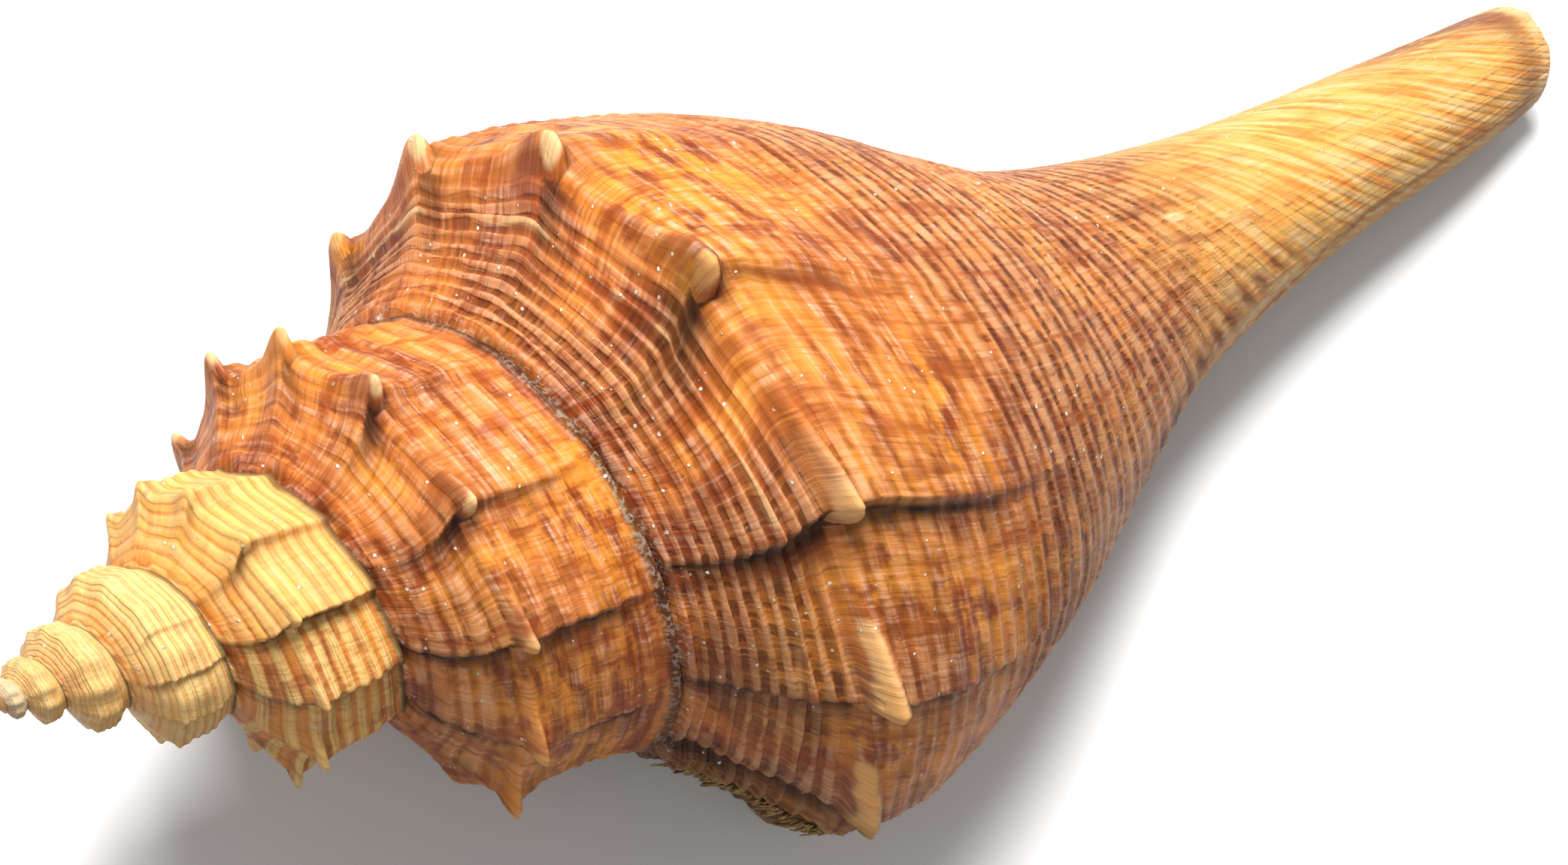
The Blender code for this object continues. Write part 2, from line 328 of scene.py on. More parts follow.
def noise(x, y, seed):
    """Value noise from 0 to 1: a repeatable random number at each whole x and y, eased between."""
    x, y = np.broadcast_arrays(x, y)
    column, row = np.floor(x), np.floor(y)
    along, across = x - column, y - row
    along = along * along * (3.0 - 2.0 * along)
    across = across * across * (3.0 - 2.0 * across)

    def corner(i, j):
        mixed = np.sin((column + i) * 127.1 + (row + j) * 311.7 + seed * 74.7) * 43758.5453
        return mixed - np.floor(mixed)

    low = corner(0, 0) * (1.0 - along) + corner(1, 0) * along
    high = corner(0, 1) * (1.0 - along) + corner(1, 1) * along
    return low * (1.0 - across) + high * across


def angle_at(turn):
    """Angle about the axis, in degrees, that the lip had at this turn."""
    return LIP_ANGLE + 360.0 * turn


def knob_phase(turn):
    """How many knobs on from the last one, and how far from one cliff to the next, 0 to 1."""
    knobs_on = (angle_at(turn) - LAST_KNOB_ANGLE) * KNOBS_PER_TURN / 360.0
    return knobs_on, np.mod(knobs_on + KNOB_PEAK, 1.0)


def laid_at(turn, cord):
    """The turn at which a point was laid down: its own, less its growth line's lean."""
    on_spire = LEAN_ON_SPIRE + (1.0 - LEAN_ON_SPIRE) * ease(turn, -1.05, -0.7)
    lean = curve(cord, LEAN) * np.where(cord < 69.0, 1.0, on_spire)
    return turn - (lean + curve(angle_at(turn), UNEVEN)) / 360.0


def knob_number(turn):
    """Which knob a turn belongs to, counted back from the lip."""
    return np.floor(-knob_phase(turn)[0] + 1.0 - KNOB_PEAK + 1e-6)


def stop_strength(turn):
    """How sharply growth stopped at the knob ahead, eased over from the one before."""
    table = np.full(100, STOP_LEAST)
    numbers, strengths = np.array(STOPS).T
    table[numbers.astype(int)] = strengths
    number = np.clip(knob_number(turn), 0, 98).astype(int)
    phase = knob_phase(turn)[1]
    return table[number + 1] + (table[number] - table[number + 1]) * ease(phase, 0.15, 0.45)


def finger_shape(knobs_on, phase, x):
    """A finger's round cross-section and round end, 0 to 1: a bar that ends in a ball.

    Those of the last two knobs are thicker, and that of the third is thinner.
    """
    back = KNOB_PEAK - knobs_on
    wide = FINGER_WIDTH * (1.20 - 0.44 * ease(back, 2.5, 2.8) + 0.24 * ease(back, 3.5, 3.8))
    wide = wide * (0.70 + 0.30 * phase)
    tip = np.clip((phase - FINGER_END + FINGER_TIP) / FINGER_TIP, 0.0, 1.0)
    return np.sqrt(np.clip(1.0 - ((x - FINGER_CORD) / wide) ** 2 - tip ** 2, 0.0, 1.0))


def relief(turn, x, form):
    """Height of the knobs, their leading fingers and the folds under them.

    Where growth stopped sharply, they rise as a power of the way from the last cliff and drop
    as another power behind it. Elsewhere they swell as a bell. On the first turns the knobs
    are even ribs, a cosine round the turn. The solid has the sharp shape alone, on half planes.
    """
    if form["soft"]:
        turn = laid_at(turn, x)
    knobs_on, phase = knob_phase(turn)
    climb = np.clip(phase / KNOB_PEAK, 0.0, 1.0)
    behind = np.clip((phase - KNOB_PEAK) / (1.0 - KNOB_PEAK), 0.0, 1.0)
    sharp = (1.0 - behind) ** form["cliff"]
    bar = finger_shape(knobs_on, phase, x)
    if form["soft"]:
        sharp = np.maximum(sharp, bar)
    swell = bell(np.mod(phase - KNOB_PEAK + 0.54, 1.0), 0.5, 0.17)
    stop = stop_strength(turn) if form["soft"] else 1.0
    spread = np.where(x < SHOULDER, *KNOB_SPREAD)
    knob = climb ** KNOB_CLIMB * sharp * stop + swell * (1.0 - stop)
    knob = form["knob"] * knob * bell(x, SHOULDER, spread)
    rise = 0.35 * climb ** 1.5 + 0.65 * ease(climb, 0.45, 0.95)
    finger = form["finger"] * rise * bar
    finger = finger * (0.15 + 0.85 * ease(turn, -2.5, -1.9))
    fold = climb ** FOLD_CLIMB * sharp * stop + swell * (1.0 - stop) * 0.6
    spire = form["flare"] * (1.0 - ease(turn, -2.4, -1.0))
    foot = 1.0 - ease(x, *FOLD_FOOT)
    foot = foot + spire * (1.0 - ease(x, *SPIRE_FOLD_FOOT) - foot)
    fold = FOLD_HEIGHT * (1.0 + 1.1 * spire) * fold * ease(x, *FOLD_TOP) * foot
    size = KNOB_LEAST + (1.0 - KNOB_LEAST) * ease(turn, *KNOB_GROWN)
    size = size * (1.0 - GLAZED_LOSS * bell(turn, GLAZED_TURN, GLAZED_WIDTH))
    size = size * (1.0 + form["spire"] * (1.0 - ease(turn, -1.5, -1.0)))
    if form["soft"]:
        size = size * curve(KNOB_PEAK - knobs_on, KNOB_SIZES)
    grown = size * (knob + finger + fold)
    young = form["ribs"] * (1.0 - ease(turn, *RIBS_END))
    rib = RIB_HEIGHT * (0.5 - 0.5 * np.cos(2.0 * np.pi * (phase + 0.1))) ** 1.2
    rib = rib * ease(x, 56.0, 68.0) * (1.0 - ease(x, 78.0, 90.0))
    grown = grown * (1.0 - young) + rib * young
    return np.where(knobs_on <= 1.0 - KNOB_PEAK, grown, 0.0)


def outside(turn, height, form=None):
    """Radius of the outside at this turn and height: outline, lap onto the last turn, knobs.

    The form says how high the relief on it stands; without one it is smooth.
    """
    scale = GROWTH ** (turn * (1.0 - ease(height, *GROWTH_FADE)))
    x = height / scale
    body = curve(x, RAMP + BODY_SIDE)
    past = np.maximum(x - NEXT_SUTURE[0], 0.0)
    lap = curve(np.minimum(x, NEXT_SUTURE[0]), RAMP + SPIRE_SIDE)
    lap = lap - curve(np.minimum(x, NEXT_SUTURE[0]), RAMP + BODY_SIDE)
    lap = lap * np.exp(-(past / LAP_REACH) ** 2) * (1.0 - ease(turn, *LAP_FADE))
    slim = SLIM_DEPTH * bell(turn, SLIM_TURN, SLIM_WIDTH)
    slim = slim * ease(x, *FOLD_TOP) * (1.0 - ease(x, *FOLD_FOOT))
    raised = relief(turn, x, form) if form else 0.0
    return scale * (body + lap - slim + raised)


def bent(height, front, up):
    """Points from heights and two offsets from the axis, with the canal's bend added."""
    t = np.clip((height - BEND_START) / (TIP_HEIGHT - BEND_START), 0.0, 1.0)
    front = front + BEND_FRONT * t * (1.0 - t)
    return np.stack(np.broadcast_arrays(height, -front, up + BEND_UP * t * t), -1) * MM


def around(turn, height, radius):
    """Points at a radius from the axis, on the half plane where the lip was at this turn."""
    angle = np.radians(angle_at(turn))
    return bent(height + 0.0 * angle, radius * np.sin(angle), radius * np.cos(angle))


def canal_end(turn):
    """Height at which the canal is broken off, on a slant round the axis."""
    return TIP_HEIGHT - TIP_SLANT * (1.0 - np.sin(np.radians(angle_at(turn))))


def broken_end(turn):
    """The canal's end with bites out of it, nowhere past the solid's."""
    angle = angle_at(turn)
    bites = 1.1 * noise(angle / 41.0, 0.0 * turn, 81) + 0.6 * noise(angle / 11.0, 0.0 * turn, 82)
    return canal_end(turn) - bites


def resting_pose():
    """Turn and shift from the shell's own axes to how it lies, as the solid is laid down.

    The solid's own grid of band points is turned, and its box set over the origin.
    """
    roll = Matrix.Rotation(math.radians(180.0 - UNDERSIDE_ANGLE), 3, "X")
    turned = np.array(Matrix.Rotation(math.radians(TIP_DOWN), 3, "Y") @ roll)
    ramp = np.linspace(SUTURE[0], SHOULDER, SOLID_RAMP_ROWS + 1)
    side = np.linspace(SHOULDER, NEXT_SUTURE[0], SOLID_SIDE_ROWS + 1)
    rows = np.concatenate([ramp, side[1:]])
    form = {"knob": SOLID_KNOB_HEIGHT, "finger": 0.0, "cliff": 1.0, "ribs": 0.0,
            "soft": False, "spire": 0.0, "flare": 0.0}
    turns = np.arange(round(SOLID_FIRST_TURN * SOLID_COLUMNS), 1)[:, None] / SOLID_COLUMNS
    heights = rows * GROWTH ** turns
    last = turns[turns[:, 0] >= -1.0]
    low = NEXT_SUTURE[0] * GROWTH ** last
    base = low + (canal_end(last) - low) * np.linspace(0.0, 1.0, SOLID_BASE_ROWS + 1)
    band = around(turns, heights[:, :-1], outside(turns, heights[:, :-1], form))
    tail = around(last, base, outside(last, base, form))
    apex = bent(np.array([SOLID_APEX]), 0.0, 0.0)
    points = np.concatenate([band.reshape(-1, 3), tail.reshape(-1, 3), apex]) @ turned.T
    lowest, highest = points.min(axis=0), points.max(axis=0)
    middle = (lowest + highest) / 2.0
    return turned, np.array([-middle[0], -middle[1], -lowest[2] - WORN * MM])


POSE_TURN, POSE_SHIFT = resting_pose()


def lie_down(points):
    """Points laid as the shell rests; what would stand out of the solid's box is worn flat."""
    return np.clip(points @ POSE_TURN.T + POSE_SHIFT, *CAD_BOX)


# ------------------------------------------------------------------------------------ meshes

def joined(grids, width):
    """A grid, or a list of them, as one list of rows this wide."""
    grids = grids if isinstance(grids, list) else [grids]
    return np.concatenate([grid.reshape(-1, width) for grid in grids])


def grid_mesh(name, points, uv, keep=None, **masks):
    """A smooth mesh from grids of points, with a UV map and colour attributes of four masks.

    Neighbours on a grid share faces. points is rows x columns x 3, or a list of such grids;
    uv and each mask match it. keep says which faces of a single grid to make.
    """
    quads, start = [], 0
    for grid in points if isinstance(points, list) else [points]:
        rows, columns = grid.shape[:2]
        index = start + np.arange(rows * columns).reshape(rows, columns)
        quad = np.stack([index[:-1, :-1], index[1:, :-1], index[1:, 1:], index[:-1, 1:]], -1)
        quads.append(quad.reshape(-1, 4) if keep is None else quad[keep])
        start += rows * columns
    used, quads = np.unique(np.concatenate(quads), return_inverse=True)
    corners = quads.ravel()
    mesh = bpy.data.meshes.new(name)
    mesh.vertices.add(len(used))
    mesh.vertices.foreach_set("co", joined(points, 3)[used].astype(np.float32).ravel())
    mesh.loops.add(corners.size)
    mesh.loops.foreach_set("vertex_index", corners.astype(np.int32))
    mesh.polygons.add(corners.size // 4)
    mesh.polygons.foreach_set("loop_start", np.arange(0, corners.size, 4, dtype=np.int32))
    mesh.update(calc_edges=True)
    mesh.shade_smooth()
    layer = mesh.uv_layers.new(name="growth")
    layer.data.foreach_set("uv", joined(uv, 2)[used][corners].astype(np.float32).ravel())
    for label, values in masks.items():
        attribute = mesh.attributes.new(label, "FLOAT_COLOR", "POINT")
        kept = joined(values, 4)[used].astype(np.float32).ravel()
        attribute.data.foreach_set("color", kept)
    welded = bmesh.new()
    welded.from_mesh(mesh)
    bmesh.ops.remove_doubles(welded, verts=welded.verts, dist=WELD)
    welded.to_mesh(mesh)
    welded.free()
    return mesh


def make(name, material, **grid):
    """A piece of the shell's surface, which stands for the shell's solid, with its material."""
    mesh = grid_mesh(name, **grid)
    mesh.materials.append(material)
    made = bpy.data.objects.new(name, mesh)
    bpy.context.scene.collection.objects.link(made)
    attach(made, BODY)
    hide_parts(NODE)


def growth_uv(turn, cord):
    """U is the way grown along the shoulder, in mm; V is the cord."""
    way = 2.0 * np.pi * RAMP[-1][1] / math.log(GROWTH) * GROWTH ** turn
    return np.stack(np.broadcast_arrays(way, cord), -1)


# --------------------------------------------------------------------------------- the skin

def on_last_ramp(turn, cord):
    """1 on the last turn's ramp, where cords crowd together, and 0 elsewhere."""
    return (1.0 - ease(cord, 65.5, 67.5)) * ease(turn, -1.1, -0.9)


def to_cord(cord, spacing):
    """Distance to the nearest of the cords that stand this far apart."""
    return np.abs(np.mod(cord + spacing / 2.0, spacing) - spacing / 2.0)


def cord_relief(turn, cord):
    """Depth below the cords' tops, 0 to 1: a bell on each main cord and on each halfway one.

    On the early turns only the main cords stand; on the last turn's side they are faint.
    """
    sway = 0.45 * (noise(turn * 40.0, cord * 0.2, 3) - 0.5)
    main, fine = to_cord(cord + sway, MAIN_CORDS), to_cord(cord + sway, FINE_CORDS)
    young = (1.0 - ease(turn, -1.35, -0.85)) * (0.25 + 0.75 * ease(cord, 64.0, 69.0))
    ramp = on_last_ramp(turn, cord)
    ridge = np.maximum(bell(main, 0.0, 0.50 + 0.75 * young - 0.22 * ramp),
                       (0.9 - 0.75 * young) * bell(fine, 0.0, 0.46 - 0.20 * ramp))
    hair = bell(np.abs(fine - FINE_CORDS / 2.0), 0.0, 0.20 + 0.06 * ramp)
    return 1.0 - np.maximum(ridge, hair * (0.4 + 0.45 * ramp) * (1.0 - young))


def cord_strength(turn, cord):
    """How strongly cords stand: a product of eased steps.

    They are full on the base, a little lower on the early ramps, faint on the last turn's side
    and on the first turns, and all but gone on the canal.
    """
    last = ease(turn, -1.4, -0.9)
    side = ease(cord, 66.0, 70.0) * (1.0 - ease(cord, 82.0, 92.0))
    ramp = 1.0 - ease(cord, 62.0, 67.0)
    worn = 0.55 + 0.9 * noise(turn * 26.0, cord * 0.16, 11)
    strength = 1.0 - 0.58 * side * last - 0.25 * ramp * (1.0 - last)
    strength = strength * (1.0 - 0.25 * ease(cord, 88.0, 96.0))
    strength = strength * (0.35 + 0.65 * ease(turn, -4.6, -3.6))
    return np.clip(strength * worn, 0.0, 1.2) * (1.0 - 0.9 * ease(cord, 112.0, 140.0))


def pinch(turn, cord):
    """How far the turns draw in at their sutures: a bell from both sides of each."""
    above = curve(turn - 1.0, PINCH) * bell(cord, SUTURE[0], 3.6) / GROWTH
    below = curve(turn, PINCH) * bell(cord, NEXT_SUTURE[0], 6.5)
    return above + below


def suture_roll(turn, cord):
    """The rolled edge beside the suture: a low bell, and a step down outside it.

    It wanders with the knobs of the turn before, as a cosine, and frays a little.
    """
    level = 0.0 * cord
    frayed = 0.5 * noise(turn * 50.0, level, 8) + 0.25 * noise(turn * 160.0, level, 9)
    before = knob_phase(laid_at(turn - 1.0, NEXT_SUTURE[0]))[1]
    wave = SUTURE_WAVE * (1.0 + np.cos(2.0 * np.pi * (before - KNOB_PEAK)))
    shift = frayed + wave * (1.0 - 0.6 * ease(turn, -1.5, -0.8))
    roll = ROLL_HEIGHT * bell(cord, ROLL_CORD + shift, ROLL_WIDTH)
    return roll - ROLL_STEP * (1.0 - ease(cord - shift, 55.2, 56.1))


def skin(turn, cord, height, sizes):
    """Radius of the finished outside: the form, less grooves, wrinkles and pinch, plus rolls."""
    scale = height / cord
    form = {"knob": sizes.knob_height / MM, "finger": sizes.finger_height / MM,
            "cliff": CLIFF, "ribs": 1.0, "soft": True, "spire": 0.55, "flare": 1.0}
    radius = outside(turn, height, form) - scale * pinch(turn, cord)
    cords = cord_relief(turn, cord) * cord_strength(turn, cord)
    radius = radius - sizes.cord_depth / MM * cords * scale ** 0.8
    way = growth_uv(laid_at(turn, cord), cord)[..., 0]
    wrinkle = noise(way / 1.7, cord / 9.0, 5) * 0.6 + noise(way / 0.7, cord / 4.0, 6) * 0.4
    radius = radius - sizes.wrinkle_depth / MM * wrinkle * scale ** 0.5
    bold = BOLD_CORD_HEIGHT * bell(cord, BOLD_CORD, 0.42) * ease(turn, -0.75, -0.6)
    radius = radius + scale * suture_roll(turn, cord) + bold * (1.0 - ease(turn, -0.12, -0.08))
    return radius + ledge_height(turn, cord, height)


def ledge(turn, cord, height):
    """Height of the torn skin's edge beside the lip, 0 to 1, and how far past it a point is."""
    bitten = noise(height / 2.2, 0.0, 71) * 2.6 + noise(height / 0.7, 0.0, 72) * 1.1
    past = angle_at(turn) - (LEDGE_ANGLE + LEDGE_LEAN * curve(cord, LEAN) - bitten)
    on_lip = (turn > -0.1) * (1.0 - ease(cord, 70.0, 80.0)) * ease(cord, 56.2, 57.5)
    return ease(past, -9.0, 0.0) * (1.0 - ease(past, 0.0, 0.5)) * on_lip, past


def ledge_height(turn, cord, height):
    """Height of the torn skin's edge, with a trough behind it, as a bell."""
    raised, past = ledge(turn, cord, height)
    trough = bell(past, -10.5, 3.4) * (turn > -0.12) * (1.0 - ease(cord, 66.0, 74.0))
    return LEDGE_HEIGHT * (raised - 1.1 * trough * ease(cord, 56.2, 58.0))


def fray(height):
    """How far back from the lip's half plane its edge is broken off, in turns."""
    bitten = noise(height / 2.6, 0.0, 61) * 0.6 + noise(height / 0.8, 0.0, 62) * 0.4
    return 0.008 * ease(bitten, 0.25, 0.9) * (1.0 - ease(height, 120.0, 130.0))


# ----------------------------------------------------------------------------- where colours go

def four(*masks):
    """Up to four masks on one grid, stacked as a colour; those not given are 0."""
    masks = np.broadcast_arrays(*masks, *[0.0] * (4 - len(masks)))
    return np.stack(masks, -1)


def most(*masks):
    """The largest of several masks at each point."""
    return functools.reduce(np.maximum, masks)


def growth_at(turn, cord, height):
    """What the skin's tones follow at each point, by name.

    laid is the turn that it was laid at; knob and phase say where that is between two knobs,
    climb how far up to the one ahead, after how far past the one behind, and stop how sharply
    growth stopped there. bar is a finger's shape. low is 1 near the ground, in front. past and
    torn are how far past the torn skin's edge, and on that skin, a point is, left how much of
    the canal is still to come, and row the angle of the stains beside its channel.
    """
    at = SimpleNamespace(turn=turn, cord=cord, height=height, laid=laid_at(turn, cord),
                         angle=angle_at(turn), row=curve(cord, DASH_ROW),
                         left=broken_end(turn) - height)
    at.knob, at.phase = knob_phase(at.laid)
    at.climb = np.clip(at.phase / KNOB_PEAK, 0.0, 1.0)
    at.after = np.mod(at.phase - KNOB_PEAK, 1.0)
    at.stop = stop_strength(at.laid)
    at.bar = finger_shape(at.knob, at.phase, cord)
    way = growth_uv(at.laid, cord)[..., 0]
    at.rough = noise(way / 1.3, cord / 1.6, 21)
    at.broad = noise(way / 9.0, cord / 7.0, 22)
    at.beads = noise(way / 0.9, 0.0 * cord, 24)
    at.blots = 0.6 * noise(way / 4.5, cord / 1.8, 25) + 0.4 * noise(way / 1.6, cord / 0.9, 26)
    at.reach = 1.0 - ease(cord, 74.0 + 8.0 * at.rough, 86.0 + 12.0 * at.stop * at.rough)
    at.low = bell(np.mod(at.angle, 360.0), GROUND_ANGLE, 45.0) * (turn < -0.02) * (turn > -1.9)
    at.low = at.low * (1.0 - ease(cord, 104.0, 112.0))
    at.raised, at.past = ledge(turn, cord, height)
    at.torn = (turn > -0.1) * ease(at.past, -7.0, -5.0) * (1.0 - ease(cord, 70.0, 76.0))
    return at


def step_stain(at):
    """Stain and painted shadow behind each sharp stop, painted shadow under its shoulder, and
    painted shade near the ground.

    It fades as an exponential past the stop, and keeps off the fingers.
    """
    # The band behind each sharp stop is partly real stain and partly painted shadow below the
    # cliff.
    fade = np.exp(-np.maximum(at.after - 0.05, 0.0) / (0.05 + 0.09 * at.stop * at.rough))
    edge = ease(at.after, 0.0, 0.05) * fade * at.reach * np.clip(1.6 * at.stop - 0.35, 0.0, 1.0)
    # Near the ground the band is painted shade with some stain, on the side in shade.
    shade_and_stain_near_ground = 0.9 * bell(at.after, 0.08, 0.12) * at.low * ease(at.stop, 0.2, 0.5)
    shade_and_stain_near_ground = shade_and_stain_near_ground * (1.0 - ease(at.cord, 84.0, 91.0)) * ease(at.rough, 0.05, 0.6)
    edge = np.maximum(edge, shade_and_stain_near_ground) * ease(at.cord, 55.8, 57.5)
    # Painted shadow under the knob's shoulder, just past its cliff.
    below = 66.9 - 0.12 * at.after * 360.0 / KNOBS_PER_TURN
    under = bell(at.after, 0.07, 0.10 + 0.08 * at.rough) * np.clip(0.55 + at.stop, 0.0, 1.0)
    under = under * bell(at.cord, below, 2.8 + 1.6 * at.rough)
    stain = np.maximum(edge * (0.75 + 0.5 * at.rough), under)
    stain = stain * (1.0 - 0.75 * (1.0 - ease(at.turn, -3.2, -1.9)))
    stain = stain * (1.0 - ease(at.bar, 0.0, 0.4) * (at.after < 0.1))
    # Dark blots of painted shade on the side near the ground.
    blots = 0.42 * at.low * ease(at.blots, 0.46, 0.70) * ease(at.cord, 56.5, 58.0)
    return np.maximum(stain, blots) * (1.0 - 0.9 * ease(at.bar, 0.0, 0.5))


def canal_stain(at):
    """On the canal: a row of stains beside the channel, painted shadow beside the torn strip, and
    healed scars.
    """
    dash = bell(np.mod(at.cord + at.rough, 3.0), 1.5, 0.6 + 0.4 * at.rough)
    dash = dash * bell(at.angle, at.row, 7.0 + 3.0 * at.rough)
    dash = dash * ease(at.cord, 110.0, 114.0) * (1.0 - 0.6 * ease(at.cord, 136.0, 146.0))
    # Painted shadow of the torn strip, beside it on the canal.
    strip = 0.6 * bell(at.angle, at.row + 24.0, 4.0) * ease(at.cord, 112.0, 118.0)
    stain = np.maximum(dash, strip * ease(at.rough, 0.3, 0.6)) * (at.turn > -0.5)
    for place, round_place, wide, round_wide, depth in SCARS:
        scar = bell(at.cord + 3.0 * (at.rough - 0.5), place, wide)
        scar = depth * scar * bell(at.angle, round_place, round_wide)
        stain = np.maximum(stain, scar * (at.turn > -0.6))
    return stain


def stain_mask(at):
    """All dark stain and painted shade: behind the stops, on the canal, in the seams, by the third
    knob and beside the lip.
    """
    # Painted contact shade in the suture's crease, and where the next turn laps onto this one.
    seam = 1.0 - ease(at.cord, 55.7, 56.5 + 0.5 * at.rough)
    next_seam = ease(at.cord, 90.6 - 1.6 * at.rough ** 2, 91.4) * (at.turn < -1.0)
    # Painted shadow in the trough behind the torn skin's edge, and darker past that edge.
    groove = 1.3 * bell(at.past, -10.0 + 2.0 * at.rough, 4.0)
    groove = groove + ease(at.past, 0.2, 0.8) * (0.35 + 0.6 * at.rough)
    groove = groove * (at.turn > -0.12) * (1.0 - ease(at.cord, 68.0, 76.0))
    # A dark patch beside the third knob.
    gap = bell(at.knob, -3.0, 0.16) * bell(at.cord, 65.4, 2.4) * (at.turn > -0.5)
    gap = 0.8 * gap * (0.6 + 0.4 * at.rough)
    torn = at.torn * (0.15 + 0.6 * noise(at.past / 0.8, at.cord / 9.0, 27))
    return most(step_stain(at), canal_stain(at), 0.85 * np.maximum(seam, next_seam),
                np.minimum(groove, 0.92), gap, torn)


def finger_mask(at):
    """A finger, and the beaded line that leads up to it as a high power of the climb.

    The line is longer before a sharp stop and near the ground, and fainter on the spire.
    """
    lead = at.climb ** 9
    lead = lead + ease(at.stop, 0.55, 0.75) * (0.20 + 0.80 * at.climb ** 5 - at.climb ** 9)
    lead = most(lead, (at.laid > -0.17) * 0.8 * ease(at.climb, 0.35, 0.65),
                (at.turn > -0.6) * np.minimum(1.5 * at.low, 0.9) * ease(at.climb, 0.30, 0.60))
    bead = 0.80 + 0.20 * ease(at.beads, 0.35, 0.6)
    lead = lead * np.maximum(bead, ease(at.climb, 0.78, 0.95))
    lead = lead * (1.0 - 0.5 * ease(at.turn, -1.9, -2.3))
    return ease(at.bar - 0.9 * (1.0 - lead), 0.30, 0.95)


def pale_mask(at, finger):
    """Pale shell: fingers, the bold cord, torn edges, the broken end and a strip on the canal."""
    thread = bell(at.cord, BOLD_CORD - 0.9 * ease(at.angle, 120.0, 160.0), 0.26)
    thread = thread * (0.30 * (at.turn > -0.6) + 0.25 * ease(at.climb, 0.35, 0.80))
    thread = thread * ease(at.rough, 0.0, 0.35)
    thread = thread * np.where(at.phase < KNOB_PEAK, 1.0, np.clip(1.3 - 1.6 * at.stop, 0.0, 1.0))
    fibres = 0.42 * at.torn * noise(at.past / 0.8, at.cord / 9.0, 23)
    edge = ease(at.raised, 0.85, 0.97) * (0.3 + 0.4 * at.rough)
    broken = 0.75 * (1.0 - ease(at.left, 0.5, 2.2 + 2.0 * at.rough))
    hook = bell(at.cord, 135.0, 1.3) * bell(at.angle, 87.0, 3.0)
    strip = bell(at.angle, at.row + 15.0, 4.0) * ease(at.cord, 116.0, 120.0) * (at.turn > -0.5)
    strip = strip * (1.0 - 0.75 * ease(at.cord, 136.0, 142.0)) * ease(at.rough, 0.0, 0.4)
    young = 0.4 * (1.0 - ease(at.turn, -3.9, -3.0))
    return most(finger * (0.86 + 0.14 * at.rough), young, thread, fibres, edge, broken, hook,
                strip)


def amber_mask(at, finger):
    """Amber where growth was quick, and painted warm light in blots near the ground and on the
    fingers there.
    """
    amber = ease(at.broad + 0.25 * at.rough, 0.50, 0.95) * ease(at.cord, 57.0, 64.0)
    glow = bell(at.phase, 0.26, 0.15) * bell(at.cord, 70.0, 13.0)
    glow = glow * np.clip(1.2 * at.stop, 0.3, 1.0)
    crest = bell(at.angle, 57.0, 6.0) * bell(at.cord, 78.0, 11.0) * (at.turn > -0.6)
    # Amber blots near the ground: painted warm light on the side in shade.
    blots = 0.5 * at.low * ease(at.blots, 0.48, 0.34) * ease(at.cord, 60.0, 64.0)
    # Fingers near the ground turn amber: painted warm light in their shade.
    warm_bounce_on_finger = finger * bell(np.mod(at.angle, 360.0), GROUND_ANGLE, 75.0)
    return most(amber, glow, crest, blots, warm_bounce_on_finger)


def mauve_mask(at):
    """Mauve where growth slowed: before and behind each stop, by the suture, lip and tip."""
    slowing = ease(at.phase, 0.35, 0.85) * (at.phase < KNOB_PEAK + 0.05)
    slowing = slowing * np.clip(at.stop, 0.3, 1.0) * bell(at.cord, 64.0, 12.0)
    slowing = slowing * ease(at.turn, -3.0, -1.8)
    halo = np.exp(-at.after / 0.30) * np.clip(1.4 * at.stop - 0.4, 0.0, 1.0) * at.reach
    halo = 0.8 * halo * (0.5 + at.rough) * ease(at.turn, -3.4, -2.4)
    lip = (at.turn > -0.1) * ease(at.past, -12.0, -8.0) * (at.cord < 90.0)
    suture = 0.85 * ease(at.cord, 56.6, 58.0) * (1.0 - ease(at.cord, 64.0, 67.5))
    suture = suture * ease(at.turn, -1.5, -0.9) * ease(at.broad, 0.1, 0.5)
    tip = bell(at.angle, 12.0, 34.0) * ease(at.height, 142.0, 158.0)
    tip = np.clip(tip + 0.7 * bell(at.left, 3.5, 2.5), 0.0, 1.0)
    return most(slowing, halo, lip, suture, tip * ease(at.rough + at.broad, 0.3, 0.9))


def tone_masks(turn, cord, height):
    """Stain with painted shade, pale, amber with painted warm light near the ground, and mauve, as
    0 to 1, around old lips, knobs and glowing patches.
    """
    at = growth_at(turn, cord, height)
    finger = finger_mask(at)
    return four(stain_mask(at), pale_mask(at, finger), amber_mask(at, finger), mauve_mask(at))


def place_masks(turn, cord, height):
    """Youth, canal, wear and base, as 0 to 1: where each of them is."""
    way = growth_uv(turn, cord)[..., 0]
    early = noise(turn * 9.0, cord / 12.0, 33)
    laid = laid_at(turn, cord)
    youth = 1.0 - 0.8 * ease(laid, BROWN_TURN - 0.012, BROWN_TURN + 0.012)
    youth = youth - 0.2 * ease(laid + 0.5 * (early - 0.5), BROWN_TURN, -1.9)
    canal = ease(height + 9.0 * (noise(way / 6.0, cord / 6.0, 32) - 0.5), 106.0, 134.0)
    apex = 0.5 * (1.0 - ease(turn, EARLIEST_TURN + 0.3, EARLIEST_TURN + 1.0))
    net = ease(cord, 82.0, 96.0) * (1.0 - canal) * ease(turn, -1.02, -0.98)
    past = ledge(turn, cord, height)[1]
    net = np.maximum(net, ease(past, -13.0, -9.0) * (turn > -0.12) * (cord < 74.0))
    return four(youth, canal, apex, net)


def skin_grid(turn, cord, height, radius):
    """A laid grid of the outside at these radii, with its UV map and masks."""
    return {"points": lie_down(around(turn, height, radius)),
            "uv": growth_uv(laid_at(turn, cord), cord),
            "tone": tone_masks(turn, cord, height), "place": place_masks(turn, cord, height)}


